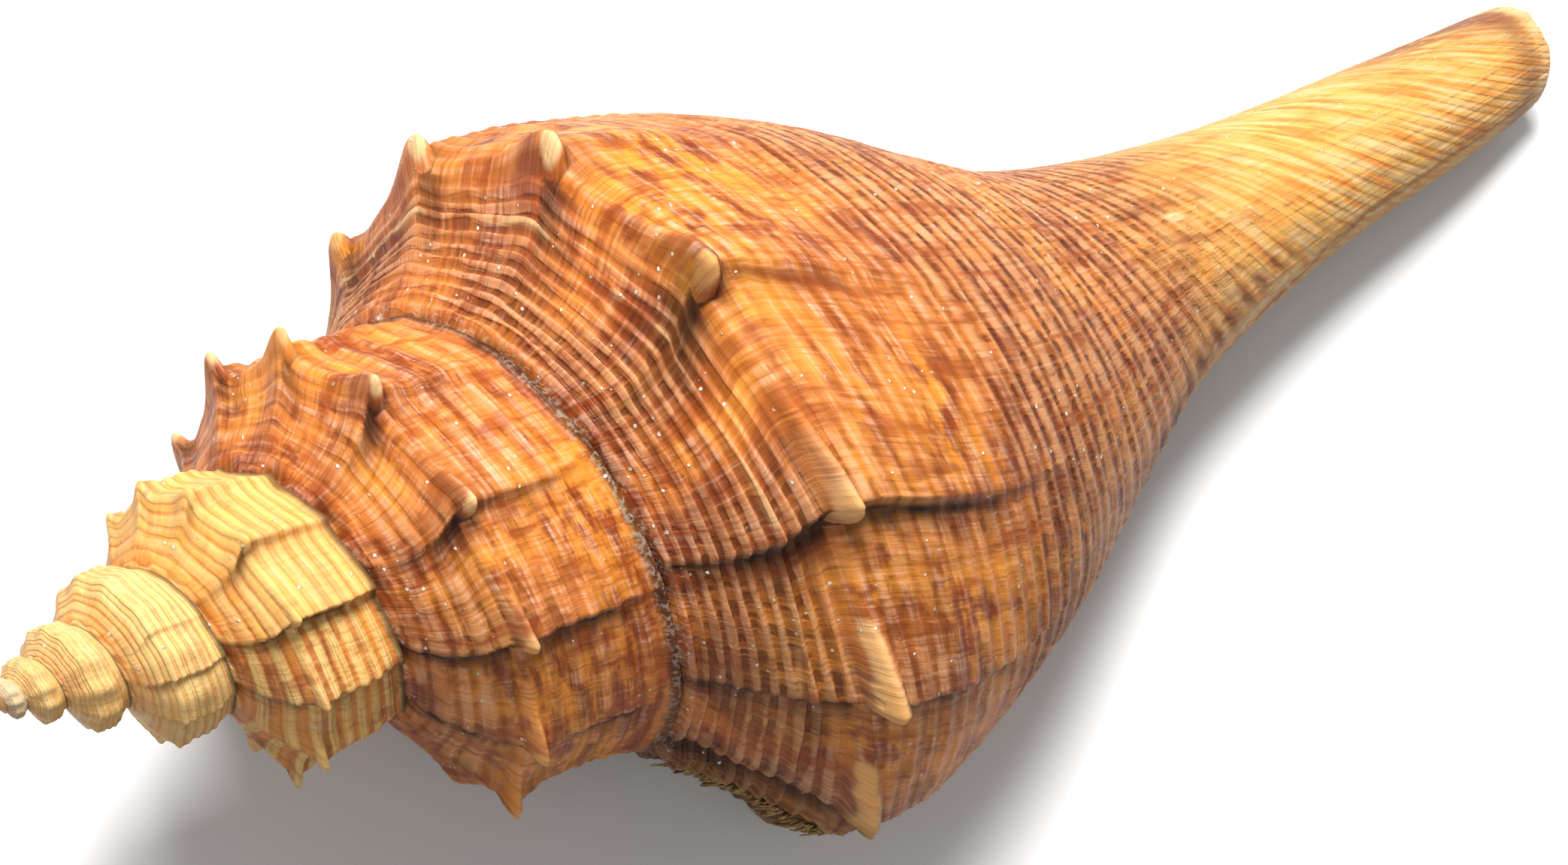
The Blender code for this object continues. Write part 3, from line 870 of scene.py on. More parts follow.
def turn_steps(first, last, per_turn):
    """Turns from first to last, packed closer at each knob's cliff."""
    turns = np.linspace(first, last, 2000)
    phase = knob_phase(laid_at(turns, SHOULDER))[1]
    close = 1.0 + 1.6 * bell(np.mod(phase - 0.45, 1.0), 0.5, 0.09)
    passed = np.concatenate([[0.0], np.cumsum(close[1:] + close[:-1])])
    count = max(4, round(per_turn * (last - first)))
    return np.interp(np.linspace(0.0, passed[-1], count + 1), passed, turns)


def early_turn(turns, step, sizes):
    """A stretch of the spire, on a grid of turns and of cords this far apart."""
    cords = np.arange(FIRST_CORD, NEXT_SUTURE[0] + 1.2, step)
    turn, cord = np.meshgrid(turns, cords, indexing="ij")
    height = cord * GROWTH ** turn
    return skin_grid(turn, cord, height, skin(turn, cord, height, sizes))


def apex():
    """The worn first turn: a dome from the axis to the spiral's first edge.

    Its height goes as the power 2.2 of the way out to that edge.
    """
    turn = np.linspace(EARLIEST_TURN, EARLIEST_TURN + 1.0, 70)[:, None]
    s = np.linspace(0.0, 1.0, 12)[None, :]
    edge = APEX_CORD * GROWTH ** turn
    height = APEX_HEIGHT + (edge - APEX_HEIGHT) * s ** 2.2
    worn = 0.80 * (1.0 - ease(s, 0.3, 0.9)) + 0.0 * turn
    return {"points": lie_down(around(turn, height, outside(turn, edge) * s)),
            "uv": growth_uv(turn, APEX_CORD - 8.0 * (1.0 - s) + 0.0 * turn),
            "tone": four(0.0 * worn), "place": four(1.0, 0.0, worn)}


def open_angle(height):
    """How far ahead of the lip, in turns, the canal's skin starts beside the channel."""
    pillar = outside(-1.0, height)
    inner = np.clip(CHANNEL_INNER * outside(0.0, height) / pillar, -1.0, 1.0)
    return np.arccos(inner) / (2.0 * np.pi) * ease(height, CHANNEL_START - 1.0, 126.0)


def opened(turn, height):
    """A turn moved on past the channel's open angle, evenly less up to a third of a turn on."""
    return turn + open_angle(height) * np.clip((-0.68 - turn) / 0.32, 0.0, 1.0)


def last_turn(turns, sizes, ramp_rows=84, side_rows=128, base_rows=230):
    """The last turn and canal: cords at even steps to the base, then heights to the end."""
    turn = turns[:, None]
    scale = GROWTH ** turn
    ramp = np.linspace(FIRST_CORD, RAMP_CORD, ramp_rows)[:-1]
    cord = np.concatenate([ramp, np.linspace(RAMP_CORD, BASE_CORD, side_rows)])[None, :]
    low = BASE_CORD * scale
    height = low + (broken_end(turn) - low) * np.linspace(0.0, 1.0, base_rows + 1)[None, 1:]
    height = np.concatenate([cord * scale, height], 1)
    turn = opened(turn + 0.0 * height, height)
    turn = turn - fray(height) * ease(turns[:, None], -0.03, 0.0)
    cord = height / GROWTH ** turn
    glaze = GLAZE * (1.0 - ease(turn, -1.0, -0.965)) * ease(height, MOUTH_TOP - 4.0, 64.0)
    glaze = glaze * (1.0 - ease(height, 112.0, 122.0))
    return skin_grid(turn, cord, height, skin(turn, cord, height, sizes) + glaze)


# --------------------------------------------------------------------------------- the mouth

def mouth_walls(turn, height):
    """Middle and half the width of the hollow, between the outer wall and the pillar."""
    outer = outside(turn, height) - WALL
    inner = outside(turn - 1.0, height) + GLAZE
    return (inner + outer) / 2.0, (outer - inner) / 2.0


def mouth_radii(turn, height):
    """Inner and outer radius of the hollow at this turn and height, a squared oval."""
    scale = GROWTH ** turn
    middle = (MOUTH_TOP + MOUTH_FOOT) / 2.0 * scale
    half = (MOUTH_FOOT - MOUTH_TOP) / 2.0 * scale
    rise = np.clip(1.0 - ((height - middle) / half) ** 2, 0.0, 1.0) ** (MOUTH_SQUARENESS / 2.0)
    centre, gap = mouth_walls(turn, height)
    return centre - gap * rise, centre + gap * rise


def channel_walls(height):
    """Inner and outer wall and floor of the channel, as distances from the axis and the lip."""
    canal = outside(0.0, height)
    start = 1.0 - ease(height, CHANNEL_START, CHANNEL_SETTLED)
    inner = CHANNEL_INNER * canal + CHANNEL_STAND_OUT * start
    return inner, CHANNEL_OUTER * canal, CHANNEL_FLOOR * canal


def channel_floor(height, points):
    """The channel's floor, out and ahead: a half circle between its walls, sunk to its depth."""
    inner, outer, floor = channel_walls(height)
    half = (outer - inner) / 2.0
    swing = np.linspace(np.pi, 2.0 * np.pi, points)
    return (inner + outer) / 2.0 + half * np.cos(swing), half - floor + half * np.sin(swing)


def pillar_edge(height):
    """Where the pillar's skin starts beside the channel, out and ahead."""
    angle = open_angle(height)
    pillar = outside(-1.0 + angle, height)
    return pillar * np.cos(2.0 * np.pi * angle), pillar * np.sin(2.0 * np.pi * angle)


def in_lip_plane(height, out, ahead):
    """Points by their distance from the axis along the lip's half plane, and ahead of it."""
    lip = math.radians(LIP_ANGLE)
    front = out * math.sin(lip) + ahead * math.cos(lip)
    up = out * math.cos(lip) - ahead * math.sin(lip)
    return bent(height, front, up)


def hollow(sizes, columns=170, points_round=150, depth=0.93):
    """The hollow behind the lip: a squared oval wound back inside, with folds and lirae.

    The oval's width goes as a power of the sine round it. Folds and lirae are bells along the
    shell, on the pillar's side and on the outer side.
    """
    turn = np.linspace(0.0, -depth, columns)[:, None]
    swing = np.linspace(0.0, 2.0 * np.pi, points_round)[None, :]
    scale = GROWTH ** turn
    height = scale * ((MOUTH_TOP + MOUTH_FOOT) / 2.0
                      - (MOUTH_FOOT - MOUTH_TOP) / 2.0 * np.cos(swing))
    centre, gap = mouth_walls(turn, height)
    side = np.sign(np.sin(swing)) * np.abs(np.sin(swing)) ** MOUTH_SQUARENESS
    cord = height / scale
    lirae = bell(np.mod(cord, LIRAE_APART), LIRAE_APART / 2.0, 0.45) * np.maximum(side, 0.0)
    folds = sum(bell(cord, at, 1.3) for at in FOLD_CORDS) * np.maximum(-side, 0.0)
    radius = centre + gap * side + sizes.fold_height / MM * folds * scale
    radius = radius - sizes.lirae_height / MM * lirae * ease(-turn, 0.0, 0.03) * scale
    inner, outer, floor = channel_walls(height)
    out = radius * np.cos(2.0 * np.pi * turn)
    behind = -radius * np.sin(2.0 * np.pi * turn)
    in_channel = (height > CHANNEL_START + 3.0) & (out > inner) & (out < outer)
    in_channel &= (-behind < floor) & (turn > -0.2)
    way_in = -turn + 0.0 * swing
    return {"points": lie_down(around(turn, height, radius)), "uv": growth_uv(turn, cord),
            "keep": ~(in_channel[:-1, :-1] & in_channel[1:, 1:]),
            "tone": four(1.0 - ease(way_in, 0.0, 0.09), ease(way_in, 0.1, 0.8))}


def channel(rows=150, arc=26, wall_steps=12):
    """The channel down the canal: a wall, a half-round floor and a wall, at each height."""
    height = np.linspace(CHANNEL_START + 2.0, broken_end(0.0) - END_SET_BACK, rows)[:, None]
    outer = channel_walls(height)[1]
    out, ahead = channel_floor(height, arc)
    edge_out, edge_ahead = pillar_edge(height)
    step = np.linspace(0.0, 1.0, wall_steps)[None, :-1]
    up_to = np.maximum(ahead[:, -1:], 0.0)
    out = np.concatenate([edge_out + (out[:, :1] - edge_out) * step, out,
                          outer + 0.0 * step], 1)
    ahead = np.concatenate([edge_ahead + (ahead[:, :1] - edge_ahead) * step, ahead,
                            up_to * (1.0 - step)], 1)
    turn = np.minimum(np.arctan2(ahead, out) / (2.0 * np.pi), 0.0)
    hollow_inner, hollow_outer = mouth_radii(turn, height)
    radius = np.hypot(out, ahead)
    inside = (ahead < 0.0) & (height < MOUTH_FOOT * GROWTH ** turn)
    inside &= (radius > hollow_inner) & (radius < hollow_outer)
    return {"points": lie_down(in_lip_plane(height + 0.0 * out, out, ahead)),
            "uv": np.stack([ahead + 40.0, height + 0.0 * ahead], -1),
            "keep": ~(inside[:-1, :-1] & inside[1:, 1:]),
            "tone": four(0.6, 0.15 + 0.0 * ahead)}


def lip_edge(sizes, rows=360, across=9):
    """The lip's edge: from the skin to the hollow's wall, rounded forward by a low arch.

    The arch is half a sine wave. A second strip runs from the pillar's skin to its wall.
    """
    height = np.linspace(LIP_TOP, broken_end(0.0), rows)[:, None]
    s = np.linspace(0.0, 1.0, across)[None, :]
    skin_radius = skin(0.0 * height, height, height, sizes)
    outer = channel_walls(height)[1]
    wall = np.maximum(mouth_radii(0.0, height)[1], outer * (height > 120.0))
    wall = np.where(height < MOUTH_FOOT, wall, outer)
    out = skin_radius + (wall - skin_radius) * s
    ahead = np.minimum(0.45, 0.3 * (skin_radius - wall)) * np.sin(np.pi * s)
    ahead = ahead - fray(height) * 2.0 * np.pi * skin_radius * (1.0 - s)
    outer_strip = lie_down(in_lip_plane(height + 0.0 * out, out, ahead))
    upper = np.linspace(LIP_TOP, CHANNEL_START + 3.0, rows)[:, None]
    pillar = skin(0.0 * upper - 1.0, upper * GROWTH, upper, sizes)
    pillar = pillar + GLAZE * ease(upper, MOUTH_TOP - 4.0, 64.0)
    out = pillar + (mouth_radii(0.0, upper)[0] - pillar) * s
    inner_strip = lie_down(in_lip_plane(upper + 0.0 * out, out, 0.0 * out))
    return {"points": [outer_strip, inner_strip[:, ::-1]],
            "uv": [np.stack([30.0 + 2.0 * s + 0.0 * h, h + 0.0 * s], -1) for h in (height, upper)],
            "tone": [four(0.75, 0.0 * height * s)] * 2}


def canal_end_cap(sizes, columns=180, across=10, arc=40):
    """The broken end: straight lines from the skin's last row to the channel's, bulged a little."""
    s = np.linspace(0.0, 1.0, columns)
    t = np.linspace(0.0, 1.0, across)[None, :]
    height = broken_end(s - 1.0)
    turn = opened(s - 1.0, height)
    rim = around(turn, height, skin(turn, height / GROWTH ** turn, height, sizes))
    edge_out, edge_ahead = pillar_edge(broken_end(-1.0))
    out, ahead = channel_floor(broken_end(0.0), arc)
    out = np.concatenate([[edge_out], out, [channel_walls(broken_end(0.0))[1]]])
    ahead = np.concatenate([[edge_ahead], ahead, [0.0]])
    along = np.linspace(0.0, 1.0, len(out))
    inner = in_lip_plane(broken_end(0.0) - END_SET_BACK + 0.0 * s, np.interp(s, along, out),
                         np.interp(s, along, ahead))
    points = rim[:, None] * (1.0 - t[..., None]) + inner[:, None] * t[..., None]
    bulge = 0.48 * np.sin(np.pi * np.minimum(t * 1.3, 1.0)) * (1.0 - t)
    rough = 0.5 * (noise(s[:, None] * 40.0, t * 5.0, 41) - 0.6) * np.sin(np.pi * t)
    points[..., 0] += (bulge + rough) * MM
    return {"points": lie_down(points), "tone": four(0.5, 0.0 * t + 0.0 * s[:, None]),
            "uv": np.stack(np.broadcast_arrays(30.0 + 8.0 * t, 180.0 + 20.0 * s[:, None]), -1)}


def fringe(sizes, count=260, rows=14, around_it=7):
    """Dried skin that hangs off the lip: flat tubes with pointed ends, thrown out and curled.

    Each runs ahead of the lip and down as a parabola, with a sideways wave that grows with the
    square of the way along it; its width falls as the root of what is left.
    """
    strand = np.arange(count, dtype=float)[:, None, None]
    draw = [noise(strand, float(k), 51) for k in range(9)]
    s = np.linspace(0.0, 1.0, rows)[None, :, None]
    ring = np.linspace(0.0, 2.0 * np.pi, around_it)[None, None, :]
    root = 57.5 + 25.0 * draw[0] ** 1.3
    reach = sizes.strand_length / MM * (0.16 + 0.84 * draw[1] ** 4)
    reach = reach * (0.25 + 0.75 * bell(root, 63.5, 6.0))
    wide = (0.16 + 0.60 * draw[2] ** 2) * np.sqrt(np.clip(1.0 - s, 0.0, 1.0))
    wide = wide * ease(s, -0.1, 0.1) * (s > 0.0)
    thick = (0.05 + 0.05 * draw[3]) * (s < 1.0) * (s > 0.0)
    curl = 0.5 * (draw[4] - 0.5) * s ** 2 + 0.07 * np.sin(7.0 * s + 6.0 * draw[5]) * s
    height = root + reach * (0.6 * (draw[6] - 0.5) * s + curl) + wide * np.cos(ring)
    edge = LEDGE_ANGLE + LEDGE_LEAN * curve(root, LEAN)
    start = (edge - 2.5 + 4.0 * draw[7] - LIP_ANGLE) / 360.0
    out = outside(start, root) + 0.2 + reach * (0.3 * draw[8] * s - 0.35 * s * s)
    way = reach * s * (0.95 - 0.2 * s) + 0.0 * ring
    points = lie_down(around(start + way / (2.0 * np.pi * out), height, out
                             + thick * np.sin(ring)))
    points[..., 2] = np.maximum(points[..., 2] - 0.50 * reach * s * s * MM, 0.4 * MM)
    uv = np.stack(np.broadcast_arrays(reach * s + 0.0 * ring, root + wide * np.cos(ring)), -1)
    return {"points": list(points), "uv": list(uv)}


# --------------------------------------------------------------------------------- materials

def new_material(name):
    """An empty node material and its tree."""
    material = bpy.data.materials.new(name)
    material.use_nodes = True
    material.node_tree.nodes.clear()
    return material, material.node_tree


def add(tree, kind, inputs=(), out=0, **settings):
    """Add a node with its settings and links, and give back the socket that it puts out.

    Inputs stand in order, or are paired with the names of their sockets. Each is a value or
    another socket. Without an out socket it is the node that comes back.
    """
    node = tree.nodes.new(kind)
    for key, value in settings.items():
        setattr(node, key, value)
    for key, value in inputs.items() if isinstance(inputs, dict) else enumerate(inputs):
        socket = node.inputs[key]
        if isinstance(value, bpy.types.NodeSocket):
            tree.links.new(value, socket)
        else:
            socket.default_value = (*value, 1.0) if socket.type == "RGBA" else value
    return node if out is None else node.outputs[out]


def amount(tree, *factors):
    """The product of factors, each a socket, a number or a smooth step of a socket.

    A step is (socket, low, high), or with the two values that it runs between as well.
    """
    steps = [add(tree, "ShaderNodeMapRange", factor, interpolation_type="SMOOTHSTEP")
             if isinstance(factor, tuple) else factor for factor in factors]
    return functools.reduce(lambda first, second: add(
        tree, MATH, (first, second), operation="MULTIPLY"), steps)


def lay(tree, base, colour, *factors):
    """A colour laid over the base, as strongly as the product of the factors."""
    inputs = {0: amount(tree, *factors), 6: base, 7: colour}
    return add(tree, "ShaderNodeMix", inputs, 2, data_type="RGBA", clamp_factor=True)


def seen_straight(tree):
    """1 where the camera, a reflection or a refraction sees the surface, 0 for soft light."""
    rays = add(tree, "ShaderNodeLightPath", out=None).outputs
    mirrored = add(tree, MATH, (rays["Is Glossy Ray"], rays["Is Transmission Ray"]),
                   operation="MAXIMUM")
    return add(tree, MATH, (rays["Is Camera Ray"], mirrored), operation="MAXIMUM")


def grain(tree, ground, across, along, detail=3.0, rough=0.6, seed=0.0):
    """Noise over the growth map: across and along are its grain in mm of growth and in cords."""
    place = [add(tree, MATH, pair, operation="DIVIDE") for pair in zip(ground, (across, along))]
    place = add(tree, "ShaderNodeCombineXYZ", (*place, seed))
    return add(tree, NOISE, {"Vector": place, "Scale": 1.0, "Detail": detail,
                             "Roughness": rough}, "Fac")


def growth_map(tree):
    """The growth map's U and V."""
    uv = add(tree, "ShaderNodeUVMap", uv_map="growth")
    return add(tree, "ShaderNodeSeparateXYZ", (uv,), None).outputs[:2]


def masks_of(tree, name):
    """The four masks kept in a colour attribute."""
    kept = add(tree, "ShaderNodeAttribute", (), None, attribute_name=name,
               attribute_type="GEOMETRY").outputs
    parts = add(tree, "ShaderNodeSeparateColor", (kept["Color"],), None).outputs
    return (*parts, kept["Alpha"])


def surface(tree, colour, roughness, height, depth, coat=0.0, coat_roughness=0.1):
    """A shell-like surface with bump: its fixed values stand on the shader's own sockets."""
    bump = add(tree, "ShaderNodeBump", {"Height": height, "Distance": depth, "Strength": 1.0})
    shader = add(tree, "ShaderNodeBsdfPrincipled", {
        "Base Color": colour, "Roughness": roughness, "Normal": bump, "IOR": 1.25,
        "Coat Weight": coat, "Coat Roughness": coat_roughness, "Coat IOR": 1.3})
    add(tree, "ShaderNodeOutputMaterial", (shader,), None)


def skin_patterns(tree, sizes):
    """The masks, noises and cords that the shell's colours follow, by name.

    aged is where growth slowed, and on the base; worked is old growth with dark pits between tan
    cords, the pits partly painted shade.
    """
    u, v = ground = growth_map(tree)
    at = SimpleNamespace(u=u, v=v)
    at.stain, at.pale, at.amber, at.mauve = masks_of(tree, "tone")
    at.youth, at.canal, at.wear, at.net = masks_of(tree, "place")
    line = sizes.growth_lines / MM
    at.broad = grain(tree, ground, 11.0, 9.0, 3.0, 0.55, 1.0)
    at.lines = grain(tree, ground, line, 6.0, 4.0, 0.65, 2.0)
    at.coarse = grain(tree, ground, line * 5.0, 12.0, 3.0, 0.6, 3.0)
    at.streaks = grain(tree, ground, 9.0, 0.55, 3.0, 0.6, 4.0)
    at.patches = grain(tree, ground, 4.2, 2.8, 3.0, 0.62, 6.0)
    at.flecks = grain(tree, ground, 0.7, 0.5, 3.0, 0.7, 5.0)
    at.cells = grain(tree, ground, line * 3.2, 1.8, 1.0, 0.4, 7.0)
    at.bands = grain(tree, ground, 16.0, 1.5, 2.0, 0.5, 8.0)
    at.main, at.on_cord = cord_pattern(tree, at)
    at.groove = add(tree, MATH, (1.0, at.on_cord), operation="SUBTRACT")
    at.aged = add(tree, MATH, (at.net, 0.30, at.mauve), operation="MULTIPLY_ADD",
                  use_clamp=True)
    off_canal = add(tree, MATH, (1.0, at.canal), operation="SUBTRACT")
    at.worked = add(tree, MATH, (at.net, amount(tree, at.aged, off_canal)),
                    operation="MAXIMUM")
    at.pits = amount(tree, at.worked, at.groove, (at.cells, 0.46, 0.58))
    return at


def cord_pattern(tree, at):
    """Where the main cords stand, and where any cord does, 0 to 1, from the cord's own number.

    Cords are broad on the early turns, thinner on the base and crowded on the last turn's ramp.
    """
    sway = add(tree, MATH, (at.streaks, 0.6, -0.3), operation="MULTIPLY_ADD")
    cord = add(tree, MATH, (at.v, sway), operation="ADD")
    main, fine, hair = [add(tree, MATH, (cord, spacing / 2.0), operation="PINGPONG")
                        for spacing in (MAIN_CORDS, FINE_CORDS, FINE_CORDS / 2.0)]
    spire = amount(tree, (at.u, 302.0, 236.0), (at.v, 64.0, 69.0, 0.2, 1.0))
    edges = [add(tree, MATH, (spire, *line), operation="MULTIPLY_ADD")
             for line in ((0.60, 1.05), (0.50, 0.45))]
    main = amount(tree, (main, *edges))
    edges = [add(tree, MATH, (at.net, *line), operation="MULTIPLY_ADD")
             for line in ((-0.16, 0.78), (-0.16, 0.34))]
    off_spire = add(tree, MATH, (spire, -0.9, 1.0), operation="MULTIPLY_ADD")
    fine = amount(tree, (fine, *edges), off_spire)
    on_cord = add(tree, MATH, (fine, main), operation="MAXIMUM")
    crowded = amount(tree, (at.v, 67.5, 65.5), (at.u, 270.0, 310.0))
    more = add(tree, MATH, (amount(tree, (hair, 0.38, 0.16)), on_cord), operation="SUBTRACT")
    return main, add(tree, MATH, (crowded, more, on_cord), operation="MULTIPLY_ADD")


def last_turn_colours(tree, at, colours):
    """Brown to orange, mauve where growth slowed, amber where it was quick, and its cords, with
    painted shade in their grooves and painted sheen on their tops.

    Growth lines part the dark pits of old growth and of the base from each other; the pits'
    chestnut is partly painted shade.
    """
    base = lay(tree, colours.brown, colours.orange, (at.broad, 0.42, 0.61))
    base = lay(tree, base, colours.orange, (at.patches, 0.46, 0.60, 0.0, 0.75))
    base = lay(tree, base, colours.chestnut_and_groove_shade, (at.patches, 0.42, 0.28, 0.0, 0.60))
    base = lay(tree, base, colours.mauve, at.aged, (at.coarse, 0.30, 0.62, 1.0, 0.25))
    base = lay(tree, base, colours.amber, at.amber, (at.patches, 0.38, 0.56))

    # Chestnut in the grooves between cords: partly their real colour, partly painted shade; deep
    # says how strongly.
    deep = add(tree, MATH, (at.worked, 0.42, 0.19), operation="MULTIPLY_ADD")
    deep = add(tree, MATH, (at.net, -0.14, deep), operation="MULTIPLY_ADD")
    base = lay(tree, base, colours.chestnut_and_groove_shade, at.groove, deep, (at.streaks, 0.30, 0.60, 0.5, 1.0))
    # Chestnut in the pits between tan cords: partly painted shade.
    base = lay(tree, base, colours.chestnut_and_groove_shade, at.pits, 0.75)
    off_base = add(tree, MATH, (at.net, -0.6, 1.0), operation="MULTIPLY_ADD")
    # Rose tan on the cord tops: partly painted sheen.
    base = lay(tree, base, colours.rose_and_sheen, at.on_cord, (at.streaks, 0.44, 0.62, 0.0, 0.50),
               off_base, (at.lines, 0.42, 0.58, 0.4, 1.2), (at.coarse, 0.35, 0.6, 0.35, 1.0))
    return lay(tree, base, colours.tan, at.worked, at.on_cord,
               (at.patches, 0.38, 0.58, 0.22, 0.80))


def pale_gold(tree, at, colours, base):
    """The early turns and the canal, which keep a pale gold over what lies under them."""
    young = lay(tree, colours.honey, colours.gold, (at.u, 95.0, 140.0))
    base = lay(tree, base, young, at.youth, (at.broad, 0.30, 0.6, 0.62, 0.97))
    base = lay(tree, base, colours.orange, at.youth, (at.v, 67.0, 61.0),
               (at.patches, 0.35, 0.6, 0.1, 0.5))
    lined = lay(tree, colours.tan, colours.orange, (at.patches, 0.42, 0.56))
    base = lay(tree, base, lined, at.youth, at.groove, (at.u, 35.0, 100.0, 0.15, 1.0),
               (at.streaks, 0.35, 0.62, 0.10, 0.80))
    grown = add(tree, MATH, (1.0, at.youth), operation="SUBTRACT")
    base = lay(tree, base, colours.honey, (at.u, 205.0, 165.0), at.main, grown,
               (at.streaks, 0.35, 0.55, 0.2, 0.9))
    base = lay(tree, base, colours.cream, at.youth, at.main, (at.streaks, 0.3, 0.6, 0.5, 0.1))

    base = lay(tree, base, colours.gold, at.canal, (at.broad, 0.2, 0.6, 0.7, 0.97))
    base = lay(tree, base, colours.cream, at.canal, (at.bands, 0.50, 0.62, 0.0, 0.7))
    base = lay(tree, base, colours.orange, at.canal, (at.bands, 0.50, 0.36, 0.0, 0.75))
    base = lay(tree, base, colours.orange, at.canal, at.groove,
               (at.streaks, 0.40, 0.62, 0.0, 0.3))
    return lay(tree, base, colours.mauve, at.canal, at.mauve, 0.85)


def growth_marks(tree, at, colours, base):
    """Growth lines, dark and light, the light ones partly painted sheen, then pale fingers, and
    dark stain with painted shade.
    """
    plain = add(tree, MATH, (at.youth, at.canal), operation="MAXIMUM")
    dull = add(tree, MATH, (plain, -0.26, 0.37), operation="MULTIPLY_ADD")
    base = lay(tree, base, colours.chestnut_and_groove_shade, (at.lines, 0.52, 0.32), dull)
    # Light growth lines in rose tan: partly painted sheen.
    base = lay(tree, base, colours.rose_and_sheen, (at.lines, 0.52, 0.72), 0.26)
    dull = add(tree, MATH, (plain, -0.45, 0.62), operation="MULTIPLY_ADD")
    base = lay(tree, base, colours.brown, (at.coarse, 0.47, 0.34), dull)
    # Finger tips take amber where the amber mask holds; near the ground that is painted warm light.
    tip = lay(tree, colours.cream, colours.amber, at.amber, 0.58)
    base = lay(tree, base, tip, (at.pale, 0.15, 0.8))
    base = lay(tree, base, colours.mauve, at.pale, (at.lines, 0.54, 0.40), 0.30)
    # Dark stain with painted shadow and shade, mauve on the canal.
    stain_and_shade_brown = lay(tree, colours.stain_and_shade_brown, colours.mauve, (at.canal, 0.0, 0.3))
    return lay(tree, base, stain_and_shade_brown, at.stain, 0.95)


def lime(tree, at):
    """Lime in the sutures and where the shell is worn, and specks of it stuck to the skin."""
    place = add(tree, "ShaderNodeTexCoord", out="Object")
    grit = add(tree, NOISE, {"Vector": place, "Scale": GRIT_PER_MM / MM, "Detail": 3.0}, "Fac")
    turned = amount(tree, (at.v, 89.6, 91.0), (at.u, 300.0, 290.0))
    crust = add(tree, MATH, (amount(tree, (at.v, 57.4, 56.5)), turned), operation="MAXIMUM")
    crust = amount(tree, crust, (at.u, 190.0, 260.0), (grit, 0.48, 0.60),
                   (at.patches, 0.36, 0.52), 0.28)
    crust = add(tree, MATH, (amount(tree, at.wear, 0.75), crust), operation="MAXIMUM")

    spots = add(tree, "ShaderNodeTexVoronoi", {"Vector": place, "Scale": SPECKS_PER_MM / MM},
                None, feature="F1").outputs
    ragged = add(tree, MATH, (at.flecks, 0.5, spots["Distance"]), operation="MULTIPLY_ADD")
    rare = add(tree, "ShaderNodeSeparateColor", (spots["Color"],))
    least = amount(tree, (at.v, 57.0, 64.0, 0.42, 0.84))
    kept = add(tree, MATH, (rare, least), operation="GREATER_THAN")
    return crust, amount(tree, (ragged, 0.46, 0.38), kept, (at.patches, 0.44, 0.54))


def shell_skin(colours, sizes):
    """Aragonite shell under a thin varnish of dried skin, grown line by line.

    Cords run one way and growth lines the other, so colour sits in small oblong patches; the
    varnish gives a soft gloss, duller where the shell is stained or worn and where shade is
    painted.
    """
    material, tree = new_material("grown_shell")
    at = skin_patterns(tree, sizes)
    base = last_turn_colours(tree, at, colours)
    base = pale_gold(tree, at, colours, base)
    base = growth_marks(tree, at, colours, base)
    crust, specks = lime(tree, at)
    base = lay(tree, base, colours.chalk, crust)
    base = lay(tree, base, colours.chalk, specks)
    dulled = add(tree, MATH, (at.stain, at.wear), operation="MAXIMUM")
    gloss = amount(tree, (at.flecks, 0.25, 0.75, 0.48, 0.68))
    roughness = add(tree, MATH, (dulled, 0.3, gloss), operation="MULTIPLY_ADD", use_clamp=True)
    height = amount(tree, at.flecks, 0.25)
    for pattern, share in ((at.lines, 0.6), (at.on_cord, 0.5), (at.pits, -0.8), (specks, 0.8)):
        height = add(tree, MATH, (pattern, share, height), operation="MULTIPLY_ADD")
    surface(tree, base, roughness, height, 0.15 * MM, coat=0.15, coat_roughness=0.14)
    return material


def mouth_lining(colours):
    """Porcelain-smooth inner shell: glossy, cream at the edge and warmer further in."""
    material, tree = new_material("mouth_enamel")
    ground = growth_map(tree)
    edge, deep = masks_of(tree, "tone")[:2]
    cloud = grain(tree, ground, 14.0, 9.0, 3.0, 0.55, 7.0)
    lines = grain(tree, ground, 1.2, 12.0, 3.0, 0.6, 8.0)
    base = lay(tree, colours.lining, colours.honey, (cloud, 0.35, 0.7))
    base = lay(tree, base, colours.cream, edge, 0.65)
    base = lay(tree, base, colours.orange, (lines, 0.55, 0.75), 0.25)
    base = lay(tree, base, colours.brown, deep, 0.55)
    roughness = amount(tree, (cloud, 0.3, 0.7, 0.16, 0.26))
    surface(tree, base, roughness, lines, 0.04 * MM, coat=0.3, coat_roughness=0.08)
    return material


def dried_skin(colours):
    """Periostracum: the horny skin that dries to brittle olive-brown flakes and threads."""
    material, tree = new_material("dried_periostracum")
    place = add(tree, "ShaderNodeTexCoord", out="Object")
    cloud = add(tree, NOISE, {"Vector": place, "Scale": FLAKES_PER_MM / MM, "Detail": 4.0},
                "Fac")
    fibre = grain(tree, growth_map(tree), 0.25, 3.0, 3.0, 0.6, 9.0)
    base = lay(tree, colours.olive, colours.mauve, (cloud, 0.50, 0.68, 0.0, 0.8))
    base = lay(tree, base, colours.rose_and_sheen, (fibre, 0.5, 0.7), 0.7)
    roughness = amount(tree, (fibre, 0.3, 0.7, 0.45, 0.75))
    surface(tree, base, roughness, fibre, 0.1 * MM)
    return material


# --------------------------------------------------------------------------------- operators

class SHELL_OT_last_turn(bpy.types.Operator):
    """Model the last turn with its knobs, cords and canal"""
    bl_idname = "shell.last_turn"
    bl_label = "Last turn and canal"

    def execute(self, context):
        settings = context.scene.spindle_shell
        material = shell_skin(settings.colours, settings.sizes)
        for name, first, last in LAST_TURN:
            turns = turn_steps(first, last, LAST_TURN_STEPS)
            make(name, material, **last_turn(turns, settings.sizes))
        return {"FINISHED"}


